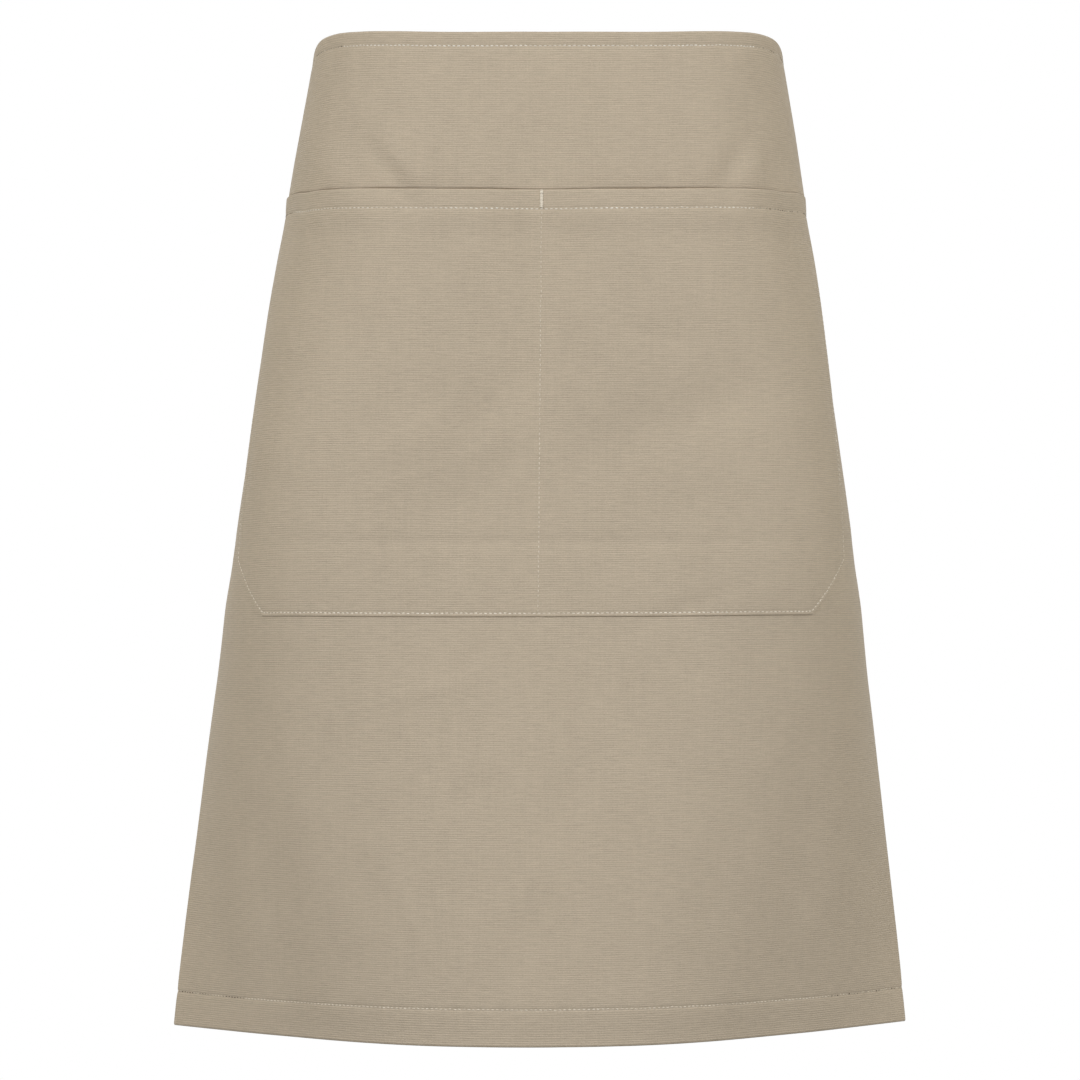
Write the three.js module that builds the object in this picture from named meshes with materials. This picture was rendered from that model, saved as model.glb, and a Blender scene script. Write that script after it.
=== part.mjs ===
// A waist apron in the form it has when worn: one canvas panel with turned hems, a patch pocket
// with two compartments across its front, and two ties knotted behind.
// Millimetres, Z up. The front faces -Y, and +X is on the right when the front is looked at.
// The origin is the middle of the waist opening, level with the panel's top edge at the front.
import * as THREE from "three";

// Panel
const PANEL_WIDTH = 570;
const PANEL_LENGTH = 600;
const CLOTH = 1.1;
// From the middle of the waist opening forward to the cloth
const FRONT_REACH = 100;
// How far the top edge drops from the front to its rear corners
const EDGE_DIP = 12;
const DIP_FADE = 3;
// Below the waist the cloth is drawn up at the sides by this much, towards the ties
const SIDE_LIFT = 5;
// The bottom edge hangs a little to the left, higher on the right, and rises to its corners
const HEM_LEAN = 5;
const HEM_TILT = 1.2;
const HEM_RISE = 0.4;

// Hems: folded strips behind the cloth
const HEM_CLOTH = 1.4;
const WAIST_HEM = 10;
const BOTTOM_HEM = 23;
const SIDE_HEM = 12;

// Pocket
const POCKET_WIDTH = 430;
const POCKET_HEIGHT = 252;
const POCKET_DROP = 94;
const POCKET_OFFSET = -3;
const CORNER_WIDTH = 38;
const CORNER_HEIGHT = 34;
const MOUTH_HEM = 13;
const MOUTH_HEM_INSET = 22;
// Each compartment stands open by this much at the mouth, and closes by this depth below it
const MOUTH_GAPE = 10;
const GAPE_DEPTH = 230;
const TACK_WIDTH = 1.8;
const TACK_LENGTH = 10.5;
const TACK_HEIGHT = 0.8;
// The middle seam holds the cloth flat for this much more than the tack's width on either side
const TACK_MARGIN = 0.6;

// Ties
const TIE_WIDTH = 25;
const TIE_CLOTH = 2;
const TIE_SEWN = 28;
const TIE_DROP = 2;
// Pulled into the knot, a tie gathers to this width and this thickness
const TIE_GATHERED = 13;
const TIE_BUNCHED = 4;
const TAIL_LENGTH = 260;
const TAIL_SPREAD = 16;
const WAIST_BACK = 104;
const KNOT_WIDTH = 36;
const KNOT_HEIGHT = 24;
const KNOT_DEPTH = 17;

// Clearance between pieces that are sewn or pressed together
const SEAM_GAP = 0.3;

// Soft folds and creases of the worn cloth stand out or sink in by up to this much
const FOLD_RELIEF = 3;

const HALF_WIDTH = PANEL_WIDTH / 2;
const pocketLeft = POCKET_OFFSET - POCKET_WIDTH / 2;
const pocketRight = POCKET_OFFSET + POCKET_WIDTH / 2;
const pocketBottom = POCKET_DROP + POCKET_HEIGHT;

// How each level of the panel curves, from the top edge to the bottom edge. The four angles, in
// degrees, say how far the cloth has turned from facing forward at a quarter, half and three
// quarters of the way to its side edge, and at the edge. level is the share of PANEL_LENGTH,
// reach the share of FRONT_REACH and lean the share of HEM_LEAN.
const SECTIONS = [
  { level: 0.00, quarter: 18, half: 56.2, threeQuarters: 100, edge: 150, reach: 1.00, lean: 0.00 },
  { level: 0.08, quarter: 16, half: 51.8, threeQuarters: 94, edge: 138, reach: 1.04, lean: 0.10 },
  { level: 0.16, quarter: 14, half: 47, threeQuarters: 90, edge: 128, reach: 1.07, lean: 0.20 },
  { level: 0.30, quarter: 10, half: 35.5, threeQuarters: 86, edge: 115, reach: 1.11, lean: 0.35 },
  { level: 0.50, quarter: 7, half: 28.5, threeQuarters: 72.2, edge: 104, reach: 1.12, lean: 0.55 },
  { level: 0.65, quarter: 11, half: 30, threeQuarters: 64, edge: 91, reach: 1.12, lean: 0.70 },
  { level: 0.82, quarter: 16, half: 33, threeQuarters: 58, edge: 72, reach: 1.10, lean: 0.90 },
  { level: 1.00, quarter: 23, half: 39, threeQuarters: 47.8, edge: 51, reach: 1.04, lean: 1.00 },
];

// The top edge lifts a little on either side of the front, then dips to the back. across is the
// share of the half width, rise the share of EDGE_DIP. DIP_FADE says how soon this dies out below.
const TOP_EDGE = [
  { across: 0.00, rise: 0.06 },
  { across: 0.25, rise: 0.14 },
  { across: 0.33, rise: 0.23 },
  { across: 0.42, rise: 0.32 },
  { across: 0.52, rise: 0.33 },
  { across: 0.60, rise: 0.12 },
  { across: 0.68, rise: -0.42 },
  { across: 0.80, rise: -0.78 },
  { across: 1.00, rise: -1.00 },
];

// Folds, dents and creases, one row each. across is the share of the half width, down, long and
// wide are shares of the panel's length, slant is the lie of the fold in degrees from level, with
// its right end low when positive. relief is the share of FOLD_RELIEF, and it sinks in when negative.
const FOLDS = [
  { across: -0.335, down: 0.138, long: 0.040, wide: 0.012, slant: 45, relief: -0.60 },
  { across: -0.50, down: 0.132, long: 0.040, wide: 0.022, slant: 35, relief: 0.40 },
  { across: 0.515, down: 0.125, long: 0.045, wide: 0.013, slant: 50, relief: -0.65 },
  { across: 0.47, down: 0.132, long: 0.035, wide: 0.016, slant: -50, relief: 0.32 },
  { across: 0.40, down: 0.136, long: 0.035, wide: 0.014, slant: -50, relief: -0.45 },
  { across: -0.14, down: 0.385, long: 0.060, wide: 0.022, slant: -42, relief: -0.55 },
  { across: -0.25, down: 0.405, long: 0.080, wide: 0.025, slant: -14, relief: 0.50 },
  { across: -0.13, down: 0.445, long: 0.060, wide: 0.020, slant: -35, relief: -0.35 },
  { across: 0.32, down: 0.375, long: 0.110, wide: 0.030, slant: -20, relief: -0.55 },
  { across: 0.05, down: 0.800, long: 0.250, wide: 0.009, slant: 90, relief: -0.35 },
  { across: -0.62, down: 0.860, long: 0.160, wide: 0.040, slant: 84, relief: -0.80 },
  { across: 0.58, down: 0.840, long: 0.180, wide: 0.045, slant: 96, relief: -0.70 },
  { across: -0.30, down: 0.780, long: 0.200, wide: 0.050, slant: 86, relief: 0.60 },
  { across: 0.30, down: 0.800, long: 0.200, wide: 0.050, slant: 94, relief: 0.60 },
  { across: 0.00, down: 0.504, long: 0.400, wide: 0.008, slant: 0, relief: -0.12 },
];

// The knot from its left end to its right end: two lobes pulled together at the middle.
const KNOT_SECTIONS = [
  { along: -0.50, height: 0.62, depth: 0.60 },
  { along: -0.40, height: 0.84, depth: 0.85 },
  { along: -0.25, height: 1.00, depth: 1.00 },
  { along: -0.08, height: 0.86, depth: 0.92 },
  { along: 0.08, height: 0.86, depth: 0.92 },
  { along: 0.25, height: 1.00, depth: 1.00 },
  { along: 0.40, height: 0.84, depth: 0.85 },
  { along: 0.50, height: 0.62, depth: 0.60 },
];

// A curve through a table's rows, with its slope at each row taken from the rows on either side.
function alongTable(rows, key, column, at) {
  const last = rows.length - 1;
  const place = Math.min(Math.max(at, rows[0][key]), rows[last][key]);
  let row = 0;
  while (row < last - 1 && place > rows[row + 1][key]) row += 1;
  const steepness = (from) => {
    const rise = rows[from + 1][column] - rows[from][column];
    return rise / (rows[from + 1][key] - rows[from][key]);
  };
  const slope = (index) => {
    if (index === 0) return steepness(0);
    if (index === last) return steepness(last - 1);
    const before = rows[index][key] - rows[index - 1][key];
    const after = rows[index + 1][key] - rows[index][key];
    return (steepness(index - 1) * after + steepness(index) * before) / (before + after);
  };
  const span = rows[row + 1][key] - rows[row][key];
  const t = (place - rows[row][key]) / span;
  const rest = 1 - t;
  return (
    rows[row][column] * (1 + 2 * t) * rest * rest +
    rows[row + 1][column] * (1 + 2 * rest) * t * t +
    slope(row) * span * t * rest * rest -
    slope(row + 1) * span * t * t * rest
  );
}

// One level of the panel, seen from above: stations from the middle of the front to a side edge.
const STATIONS = 120;
const levelCache = new Map();

function levelCurve(level) {
  const cacheKey = level.toFixed(6);
  if (levelCache.has(cacheKey)) return levelCache.get(cacheKey);
  const bends = [
    { across: 0, turn: 0 },
    { across: 0.25, turn: alongTable(SECTIONS, "level", "quarter", level) },
    { across: 0.5, turn: alongTable(SECTIONS, "level", "half", level) },
    { across: 0.75, turn: alongTable(SECTIONS, "level", "threeQuarters", level) },
    { across: 1, turn: alongTable(SECTIONS, "level", "edge", level) },
  ];
  const step = HALF_WIDTH / STATIONS;
  const stations = [{ x: 0, y: 0, turn: 0 }];
  for (let index = 1; index <= STATIONS; index += 1) {
    const before = stations[index - 1];
    const turn = THREE.MathUtils.degToRad(alongTable(bends, "across", "turn", index / STATIONS));
    const middle = (before.turn + turn) / 2;
    const x = before.x + Math.cos(middle) * step;
    const y = before.y + Math.sin(middle) * step;
    stations.push({ x, y, turn });
  }
  levelCache.set(cacheKey, stations);
  return stations;
}

function foldRelief(across, down) {
  let relief = 0;
  for (const fold of FOLDS) {
    const right = across - fold.across * HALF_WIDTH;
    const below = down - fold.down * PANEL_LENGTH;
    const slant = THREE.MathUtils.degToRad(fold.slant);
    const onward = (right * Math.cos(slant) + below * Math.sin(slant)) / (fold.long * PANEL_LENGTH);
    const aside = (below * Math.cos(slant) - right * Math.sin(slant)) / (fold.wide * PANEL_LENGTH);
    relief += fold.relief * FOLD_RELIEF * Math.exp(-onward * onward - aside * aside);
  }
  return relief;
}

// The pocket beds into the panel towards its sides, so that the outline runs on over it: the
// cloth behind it sinks in by BED_DEPTH between these shares of its half width. At the mouth the
// bed comes and goes within BED_RAMP, and it fades out over the height of the cut corners.
const BED_DEPTH = 2.3;
const BED_FROM = 0.6;
const BED_FULL = 0.9;
const BED_RAMP = 9;

// The drawing up at the sides grows between these shares of the half width, is full at this level
// and dies out between the next two levels.
const LIFT_FROM = 0.54;
const LIFT_FULL = 0.7;
const LIFT_LEVEL = 0.14;
const LIFT_HOLDS = 0.2;
const LIFT_GONE = 0.5;

function sideLift(share, level) {
  const aside = THREE.MathUtils.smoothstep(share, LIFT_FROM, LIFT_FULL);
  const growing = THREE.MathUtils.smoothstep(level, 0, LIFT_LEVEL);
  const dying = THREE.MathUtils.smoothstep(level, LIFT_HOLDS, LIFT_GONE);
  return SIDE_LIFT * aside * growing * (1 - dying);
}

function pocketBed(across, down) {
  const share = Math.abs(across - POCKET_OFFSET) / (POCKET_WIDTH / 2);
  const towardsSide = THREE.MathUtils.smoothstep(share, BED_FROM, BED_FULL);
  const belowMouth = THREE.MathUtils.smoothstep(down - POCKET_DROP, -BED_RAMP, BED_RAMP);
  const aboveBottom = THREE.MathUtils.smoothstep(pocketBottom - down, 0, CORNER_HEIGHT);
  return BED_DEPTH * towardsSide * belowMouth * aboveBottom;
}

// The point of the worn cloth that lies across millimetres right of the panel's middle and down
// millimetres below its top edge, standing out millimetres proud of the panel's outer face.
function onPanel(across, down, out) {
  const level = down / PANEL_LENGTH;
  const share = Math.min(Math.abs(across) / HALF_WIDTH, 1);
  const side = Math.sign(across) || 1;
  const stations = levelCurve(level);
  const index = Math.min(Math.floor(share * STATIONS), STATIONS - 1);
  const partway = share * STATIONS - index;
  const from = stations[index];
  const to = stations[index + 1];
  const turn = side * THREE.MathUtils.lerp(from.turn, to.turn, partway);
  const lean = HEM_LEAN * alongTable(SECTIONS, "level", "lean", level);
  const reach = FRONT_REACH * alongTable(SECTIONS, "level", "reach", level);
  const topEdge = EDGE_DIP * alongTable(TOP_EDGE, "across", "rise", share);
  const proud = out + foldRelief(across, down) - pocketBed(across, down);
  const hemLift = HEM_RISE * share * share + HEM_TILT * share * side;
  return new THREE.Vector3(
    side * THREE.MathUtils.lerp(from.x, to.x, partway) - lean + Math.sin(turn) * proud,
    THREE.MathUtils.lerp(from.y, to.y, partway) - reach - Math.cos(turn) * proud,
    topEdge * (1 - level) ** DIP_FADE + sideLift(share, level) - down + hemLift * level,
  );
}

// A closed wall between an outer and an inner face, each a grid of points that place(column, row,
// isInner) gives. Columns run to the right and rows run down when the outer face is looked at.
function wallGeometry(columns, rows, place) {
  const points = [];
  for (const isInner of [false, true]) {
    for (let row = 0; row <= rows; row += 1) {
      for (let column = 0; column <= columns; column += 1) {
        points.push(place(column, row, isInner));
      }
    }
  }
  const faceSize = (columns + 1) * (rows + 1);
  const outer = (column, row) => row * (columns + 1) + column;
  const inner = (column, row) => faceSize + outer(column, row);
  const triangles = [];
  const quad = (a, b, c, d) => triangles.push(a, b, c, a, c, d);
  for (let row = 0; row < rows; row += 1) {
    const below = row + 1;
    for (let column = 0; column < columns; column += 1) {
      const right = column + 1;
      quad(outer(column, row), outer(column, below), outer(right, below), outer(right, row));
      quad(inner(column, row), inner(right, row), inner(right, below), inner(column, below));
    }
  }
  for (let column = 0; column < columns; column += 1) {
    const right = column + 1;
    quad(outer(column, 0), outer(right, 0), inner(right, 0), inner(column, 0));
    quad(outer(column, rows), inner(column, rows), inner(right, rows), outer(right, rows));
  }
  for (let row = 0; row < rows; row += 1) {
    const below = row + 1;
    quad(outer(0, row), inner(0, row), inner(0, below), outer(0, below));
    quad(outer(columns, row), outer(columns, below), inner(columns, below), inner(columns, row));
  }
  const geometry = new THREE.BufferGeometry().setFromPoints(points);
  geometry.setIndex(triangles);
  geometry.computeVertexNormals();
  return geometry;
}

// Two lines closer than this are one line.
const SAME_LINE = 1e-6;

// Even steps no longer than longest between the given stops, which all stay in the list.
function divided(stops, longest) {
  const sorted = [...new Set(stops)].sort((a, b) => a - b);
  const list = [sorted[0]];
  for (let index = 1; index < sorted.length; index += 1) {
    const span = sorted[index] - sorted[index - 1];
    const steps = Math.max(1, Math.ceil(span / longest - SAME_LINE));
    for (let step = 1; step <= steps; step += 1) {
      list.push(sorted[index - 1] + (span * step) / steps);
    }
  }
  return list;
}

function linesBetween(lines, low, high) {
  return lines.filter((line) => line >= low - SAME_LINE && line <= high + SAME_LINE);
}

// All layers share these lines across and down the cloth, so their facets lie side by side.
const COLUMN_STEP = 13;
const ROW_STEP = 21;
const sideHemEdge = HALF_WIDTH - SIDE_HEM;
const bottomHemEdge = PANEL_LENGTH - BOTTOM_HEM;

const cornerStart = pocketBottom - CORNER_HEIGHT;
const seamHold = TACK_WIDTH / 2 + TACK_MARGIN;
const mouthHemLeft = pocketLeft + MOUTH_HEM_INSET;
const mouthHemRight = pocketRight - MOUTH_HEM_INSET;

const clothColumns = divided([
  -HALF_WIDTH, -sideHemEdge, pocketLeft, mouthHemLeft, pocketLeft + CORNER_WIDTH,
  POCKET_OFFSET - seamHold, POCKET_OFFSET + seamHold,
  pocketRight - CORNER_WIDTH, mouthHemRight, pocketRight, sideHemEdge, HALF_WIDTH,
], COLUMN_STEP);

const clothRows = divided([
  0, WAIST_HEM, POCKET_DROP, POCKET_DROP + MOUTH_HEM, cornerStart, pocketBottom,
  bottomHemEdge, PANEL_LENGTH,
], ROW_STEP);

// Natural canvas as the light finds it on each piece, and the paler sewing thread
const COLOURS = {
  panel: 0xb5a694,
  pocket: 0xb9aa98,
  narrowHem: 0xb0a18e,
  sideHem: 0xae9e8a,
  wideHem: 0xab9b86,
  tie: 0xab9b86,
  thread: 0xd8cdbb,
};

function addMesh(group, name, geometry, color) {
  const material = new THREE.MeshStandardMaterial({ name, color, roughness: 0.92, metalness: 0 });
  const mesh = new THREE.Mesh(geometry, material);
  mesh.name = name;
  group.add(mesh);
}

// A strip of cloth over the given columns and rows, between two depths measured from the outer face.
function stripGeometry(columns, rows, outer, thickness) {
  return wallGeometry(columns.length - 1, rows.length - 1, (column, row, inner) =>
    onPanel(columns[column], rows[row], inner ? outer - thickness : outer));
}

const hemOuter = -(CLOTH + SEAM_GAP);
const tieOuter = hemOuter - HEM_CLOTH - SEAM_GAP;

function addPanelAndHems(group) {
  addMesh(group, "front_panel", stripGeometry(clothColumns, clothRows, 0, CLOTH), COLOURS.panel);
  const hem = (columns, rows) => stripGeometry(columns, rows, hemOuter, HEM_CLOTH);
  addMesh(group, "waist_hem", hem(clothColumns, [SEAM_GAP, WAIST_HEM]), COLOURS.narrowHem);
  addMesh(group, "bottom_hem", hem(clothColumns, [bottomHemEdge, PANEL_LENGTH]), COLOURS.wideHem);
  const sideTop = WAIST_HEM + SEAM_GAP;
  const sideBottom = bottomHemEdge - SEAM_GAP;
  const sideLines = linesBetween(clothRows, sideTop + SEAM_GAP, sideBottom - SEAM_GAP);
  const sideRows = [sideTop, ...sideLines, sideBottom];
  const leftColumns = linesBetween(clothColumns, -HALF_WIDTH, -sideHemEdge);
  const rightColumns = linesBetween(clothColumns, sideHemEdge, HALF_WIDTH);
  addMesh(group, "left_side_hem", hem(leftColumns, sideRows), COLOURS.sideHem);
  addMesh(group, "right_side_hem", hem(rightColumns, sideRows), COLOURS.sideHem);
}

// How far the pocket's inner face stands off the panel. At the mouth its turned hem holds it off,
// and each compartment gapes most nearer to the middle seam than to its side seam: it opens from
// the middle seam to the first share of the pocket's half width, and closes between the others.
const GAPE_OPEN_BY = 0.2;
const GAPE_CLOSES_FROM = 0.4;
const GAPE_CLOSED_BY = 0.85;
// The hem's stand-off dies away over this depth below the hem
const MOUTH_FADE = 16;

function pocketStandOff(across, down) {
  const fromMiddle = Math.abs(across - POCKET_OFFSET) - seamHold;
  const share = Math.min(Math.max(fromMiddle / (POCKET_WIDTH / 2 - seamHold), 0), 1);
  const belowMouth = down - POCKET_DROP;
  const fromSeam = Math.min(across - pocketLeft, pocketRight - across);
  const seamFade = THREE.MathUtils.smoothstep(fromSeam, 0, MOUTH_HEM_INSET);
  const aboveFade = MOUTH_HEM + MOUTH_FADE - belowMouth;
  const hemFade = seamFade * THREE.MathUtils.smoothstep(aboveFade, 0, MOUTH_FADE);
  const depthShare = Math.min(belowMouth / GAPE_DEPTH, 1);
  const gapeFade = Math.cos((depthShare * Math.PI) / 2) ** 2;
  const opening = THREE.MathUtils.smoothstep(share, 0, GAPE_OPEN_BY);
  const closing = THREE.MathUtils.smoothstep(share, GAPE_CLOSES_FROM, GAPE_CLOSED_BY);
  const gape = MOUTH_GAPE * opening * (1 - closing) * gapeFade;
  return SEAM_GAP + (HEM_CLOTH + SEAM_GAP) * hemFade + gape;
}

// How far the pocket reaches below the start of its corners, as a share of their height: all of
// it in the middle, and cut across to almost nothing at both sides.
const LEAST_CORNER = 0.02;

function cornerReach(across) {
  const fromSide = Math.min(across - pocketLeft, pocketRight - across);
  return Math.min(1, Math.max(fromSide / CORNER_WIDTH, LEAST_CORNER));
}

function addPocket(group) {
  const columns = linesBetween(clothColumns, pocketLeft, pocketRight);
  const rows = linesBetween(clothRows, POCKET_DROP, pocketBottom);
  const geometry = wallGeometry(columns.length - 1, rows.length - 1, (column, row, inner) => {
    const across = columns[column];
    const below = Math.max(rows[row] - cornerStart, 0);
    const down = Math.min(rows[row], cornerStart) + below * cornerReach(across);
    return onPanel(across, down, pocketStandOff(across, down) + (inner ? 0 : CLOTH));
  });
  addMesh(group, "pocket_panel", geometry, COLOURS.pocket);

  const hemColumns = linesBetween(columns, mouthHemLeft, mouthHemRight);
  const hemRows = [POCKET_DROP + SEAM_GAP, POCKET_DROP + MOUTH_HEM];
  const hemGeometry = wallGeometry(hemColumns.length - 1, 1, (column, row, inner) => {
    const across = hemColumns[column];
    const down = hemRows[row];
    return onPanel(across, down, pocketStandOff(across, down) - SEAM_GAP - (inner ? HEM_CLOTH : 0));
  });
  addMesh(group, "pocket_mouth_hem", hemGeometry, COLOURS.narrowHem);

  const tackEdges = [POCKET_OFFSET - TACK_WIDTH / 2, POCKET_OFFSET + TACK_WIDTH / 2];
  const tackTop = POCKET_DROP + SEAM_GAP;
  const tackRows = [tackTop, tackTop + TACK_LENGTH];
  const tackGeometry = wallGeometry(1, 1, (column, row, inner) => {
    const proud = pocketStandOff(tackEdges[column], tackRows[row]) + CLOTH + SEAM_GAP;
    return onPanel(tackEdges[column], tackRows[row], proud + (inner ? 0 : TACK_HEIGHT));
  });
  addMesh(group, "pocket_bar_tack", tackGeometry, COLOURS.thread);
}

// A tie is sewn behind the panel's top corner and runs round the back of the waist to the knot.
// Each stop on its way has the points of its outer and inner face, from its upper to its lower edge.
const TIE_STEPS = 14;
const TIE_ROWS = 2;
// Along the free stretch, the share by which it hangs upright and the share where it gathers
const UPRIGHT_BY = 0.5;
const GATHERS_FROM = 0.55;

function sewnStop(across) {
  const face = (out) => {
    const points = [];
    for (let row = 0; row <= TIE_ROWS; row += 1) {
      points.push(onPanel(across, TIE_DROP + (TIE_WIDTH * row) / TIE_ROWS, out));
    }
    return points;
  };
  return { outer: face(tieOuter), inner: face(tieOuter - TIE_CLOTH) };
}

function stopMiddle(stop) {
  const middle = TIE_ROWS / 2;
  return stop.outer[middle].clone().lerp(stop.inner[middle], 0.5);
}

// The free stretch starts along the sewn one and ends square to the knot, upright and gathered.
function tieStops(side) {
  const edgeColumns = linesBetween(clothColumns, sideHemEdge, HALF_WIDTH);
  const sewnColumns = divided([HALF_WIDTH - TIE_SEWN, ...edgeColumns], COLUMN_STEP);
  const stops = sewnColumns.map((across) => sewnStop(side * across));
  const edgeStop = stops.at(-1);
  const edge = stopMiddle(edgeStop);
  const heading = edge.clone().sub(stopMiddle(stops.at(-2))).setZ(0).normalize();
  const edgeHang = edgeStop.outer[TIE_ROWS].clone().sub(edgeStop.outer[0]).normalize();
  const upright = new THREE.Vector3(0, 0, -1);
  const end = new THREE.Vector3(side * (KNOT_WIDTH / 2 + SEAM_GAP), WAIST_BACK, edge.z);
  const pull = edge.distanceTo(end) / 3;
  const curve = new THREE.CubicBezierCurve3(
    edge,
    edge.clone().addScaledVector(heading, pull),
    end.clone().setX(end.x + side * pull),
    end,
  );
  for (let step = 1; step <= TIE_STEPS; step += 1) {
    const share = step / TIE_STEPS;
    const gather = THREE.MathUtils.smoothstep(share, GATHERS_FROM, 1);
    const width = THREE.MathUtils.lerp(TIE_WIDTH, TIE_GATHERED, gather);
    const thickness = THREE.MathUtils.lerp(TIE_CLOTH, TIE_BUNCHED, gather);
    const eased = THREE.MathUtils.smoothstep(share, 0, UPRIGHT_BY);
    const hang = edgeHang.clone().lerp(upright, eased).normalize();
    const onward = curve.getTangent(share).setZ(0).normalize();
    const outward = new THREE.Vector3(side * onward.y, -side * onward.x, 0);
    const face = (out) => {
      const points = [];
      for (let row = 0; row <= TIE_ROWS; row += 1) {
        const below = width * (row / TIE_ROWS - 0.5);
        points.push(curve.getPoint(share).addScaledVector(hang, below).addScaledVector(outward, out));
      }
      return points;
    };
    stops.push({ outer: face(thickness / 2), inner: face(-thickness / 2) });
  }
  return stops;
}

function tieGeometry(side) {
  const stops = tieStops(side);
  const ordered = side > 0 ? stops : stops.slice().reverse();
  return wallGeometry(ordered.length - 1, TIE_ROWS, (column, row, inner) =>
    (inner ? ordered[column].inner[row] : ordered[column].outer[row]));
}

const KNOT_SIDES = 14;

function knotGeometry(centre) {
  const sides = KNOT_SIDES;
  const points = [];
  for (const section of KNOT_SECTIONS) {
    for (let index = 0; index < sides; index += 1) {
      const angle = (index / sides) * Math.PI * 2;
      points.push(new THREE.Vector3(
        centre.x + section.along * KNOT_WIDTH,
        centre.y + Math.cos(angle) * section.depth * KNOT_DEPTH / 2,
        centre.z + Math.sin(angle) * section.height * KNOT_HEIGHT / 2,
      ));
    }
  }
  const triangles = [];
  const rings = KNOT_SECTIONS.length;
  for (let ring = 0; ring < rings - 1; ring += 1) {
    for (let index = 0; index < sides; index += 1) {
      const next = (index + 1) % sides;
      const a = ring * sides + index;
      const b = ring * sides + next;
      const c = (ring + 1) * sides + next;
      const d = (ring + 1) * sides + index;
      triangles.push(a, b, c, a, c, d);
    }
  }
  for (let index = 1; index < sides - 1; index += 1) {
    triangles.push(0, index + 1, index);
    const start = (rings - 1) * sides;
    triangles.push(start, start + index, start + index + 1);
  }
  const geometry = new THREE.BufferGeometry().setFromPoints(points);
  geometry.setIndex(triangles);
  geometry.computeVertexNormals();
  return geometry;
}

// A tail leaves the underside of its half of the knot, gathered, and opens out as it hangs. Its
// route is a curve pulled by four rows: spread is the share of TAIL_SPREAD to its own side, back
// the share of TIE_BUNCHED, and down the share of TAIL_LENGTH.
const TAIL_STEPS = 12;
const TAIL_OPEN_BY = 0.25;
const TAIL_ROUTE = [
  { spread: 0.0, back: 0, down: 0.00 },
  { spread: 0.3, back: 1, down: 0.30 },
  { spread: 1.1, back: 0, down: 0.65 },
  { spread: 1.0, back: -1, down: 1.00 },
];

function tailGeometry(side, centre) {
  const top = new THREE.Vector3(
    centre.x + side * KNOT_WIDTH / 4,
    centre.y,
    centre.z - KNOT_HEIGHT / 2 - SEAM_GAP,
  );
  const pulls = TAIL_ROUTE.map((row) => new THREE.Vector3(
    top.x + side * row.spread * TAIL_SPREAD,
    top.y + row.back * TIE_BUNCHED,
    top.z - row.down * TAIL_LENGTH,
  ));
  const curve = new THREE.CubicBezierCurve3(...pulls);
  return wallGeometry(1, TAIL_STEPS, (column, row, inner) => {
    const share = row / TAIL_STEPS;
    const open = THREE.MathUtils.smoothstep(share, 0, TAIL_OPEN_BY);
    const width = THREE.MathUtils.lerp(TIE_GATHERED, TIE_WIDTH, open);
    const thickness = THREE.MathUtils.lerp(TIE_BUNCHED, TIE_CLOTH, open);
    const point = curve.getPoint(share);
    point.x += (column === 0 ? -width : width) / 2;
    point.y += (inner ? thickness : -thickness) / 2;
    return point;
  });
}

function addTies(group) {
  addMesh(group, "left_tie", tieGeometry(-1), COLOURS.tie);
  addMesh(group, "right_tie", tieGeometry(1), COLOURS.tie);
  const leftEnd = stopMiddle(tieStops(-1).at(-1));
  const rightEnd = stopMiddle(tieStops(1).at(-1));
  const centre = leftEnd.lerp(rightEnd, 0.5);
  addMesh(group, "tie_knot", knotGeometry(centre), COLOURS.tie);
  addMesh(group, "left_tie_tail", tailGeometry(-1, centre), COLOURS.tie);
  addMesh(group, "right_tie_tail", tailGeometry(1, centre), COLOURS.tie);
}

const apron = new THREE.Group();
apron.name = "waist_apron";
addPanelAndHems(apron);
addPocket(apron);
addTies(apron);

export default apron;
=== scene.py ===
# A waist apron of ribbed cotton canvas in its worn form. Sizes are millimetres, and MM turns them
# into metres where meshes are made. Every sheet is laid out in cloth coordinates: across is the
# distance right of the panel's middle, down the distance below its top edge, and out the distance
# in front of the panel's outer face.
import math
import bpy
import numpy as np
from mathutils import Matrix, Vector, noise


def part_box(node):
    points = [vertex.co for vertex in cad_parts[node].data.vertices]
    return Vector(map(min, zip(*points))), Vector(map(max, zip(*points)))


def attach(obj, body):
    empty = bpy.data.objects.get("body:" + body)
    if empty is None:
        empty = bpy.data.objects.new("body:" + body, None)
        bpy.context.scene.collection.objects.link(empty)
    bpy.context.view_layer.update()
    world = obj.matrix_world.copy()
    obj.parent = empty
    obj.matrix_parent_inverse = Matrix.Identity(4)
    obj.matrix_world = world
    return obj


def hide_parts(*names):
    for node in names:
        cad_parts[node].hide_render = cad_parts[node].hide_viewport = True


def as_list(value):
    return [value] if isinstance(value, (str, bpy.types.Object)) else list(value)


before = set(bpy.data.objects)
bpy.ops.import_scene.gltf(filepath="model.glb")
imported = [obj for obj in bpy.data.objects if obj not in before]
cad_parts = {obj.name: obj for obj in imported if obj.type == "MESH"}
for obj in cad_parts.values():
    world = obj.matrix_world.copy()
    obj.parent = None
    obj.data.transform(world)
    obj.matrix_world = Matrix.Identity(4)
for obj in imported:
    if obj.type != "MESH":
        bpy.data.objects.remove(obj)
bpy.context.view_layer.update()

MM = 0.001

# Camera: the photo is 1080 pixels wide and looks straight at the front
PHOTO_SIDE = 1080
PIXEL = 600 / 1016
CAMERA_X = -5
CAMERA_Z = -300.6
CAMERA_DISTANCE = 3400
FRONT_PLANE = -112
SENSOR = 36

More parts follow.
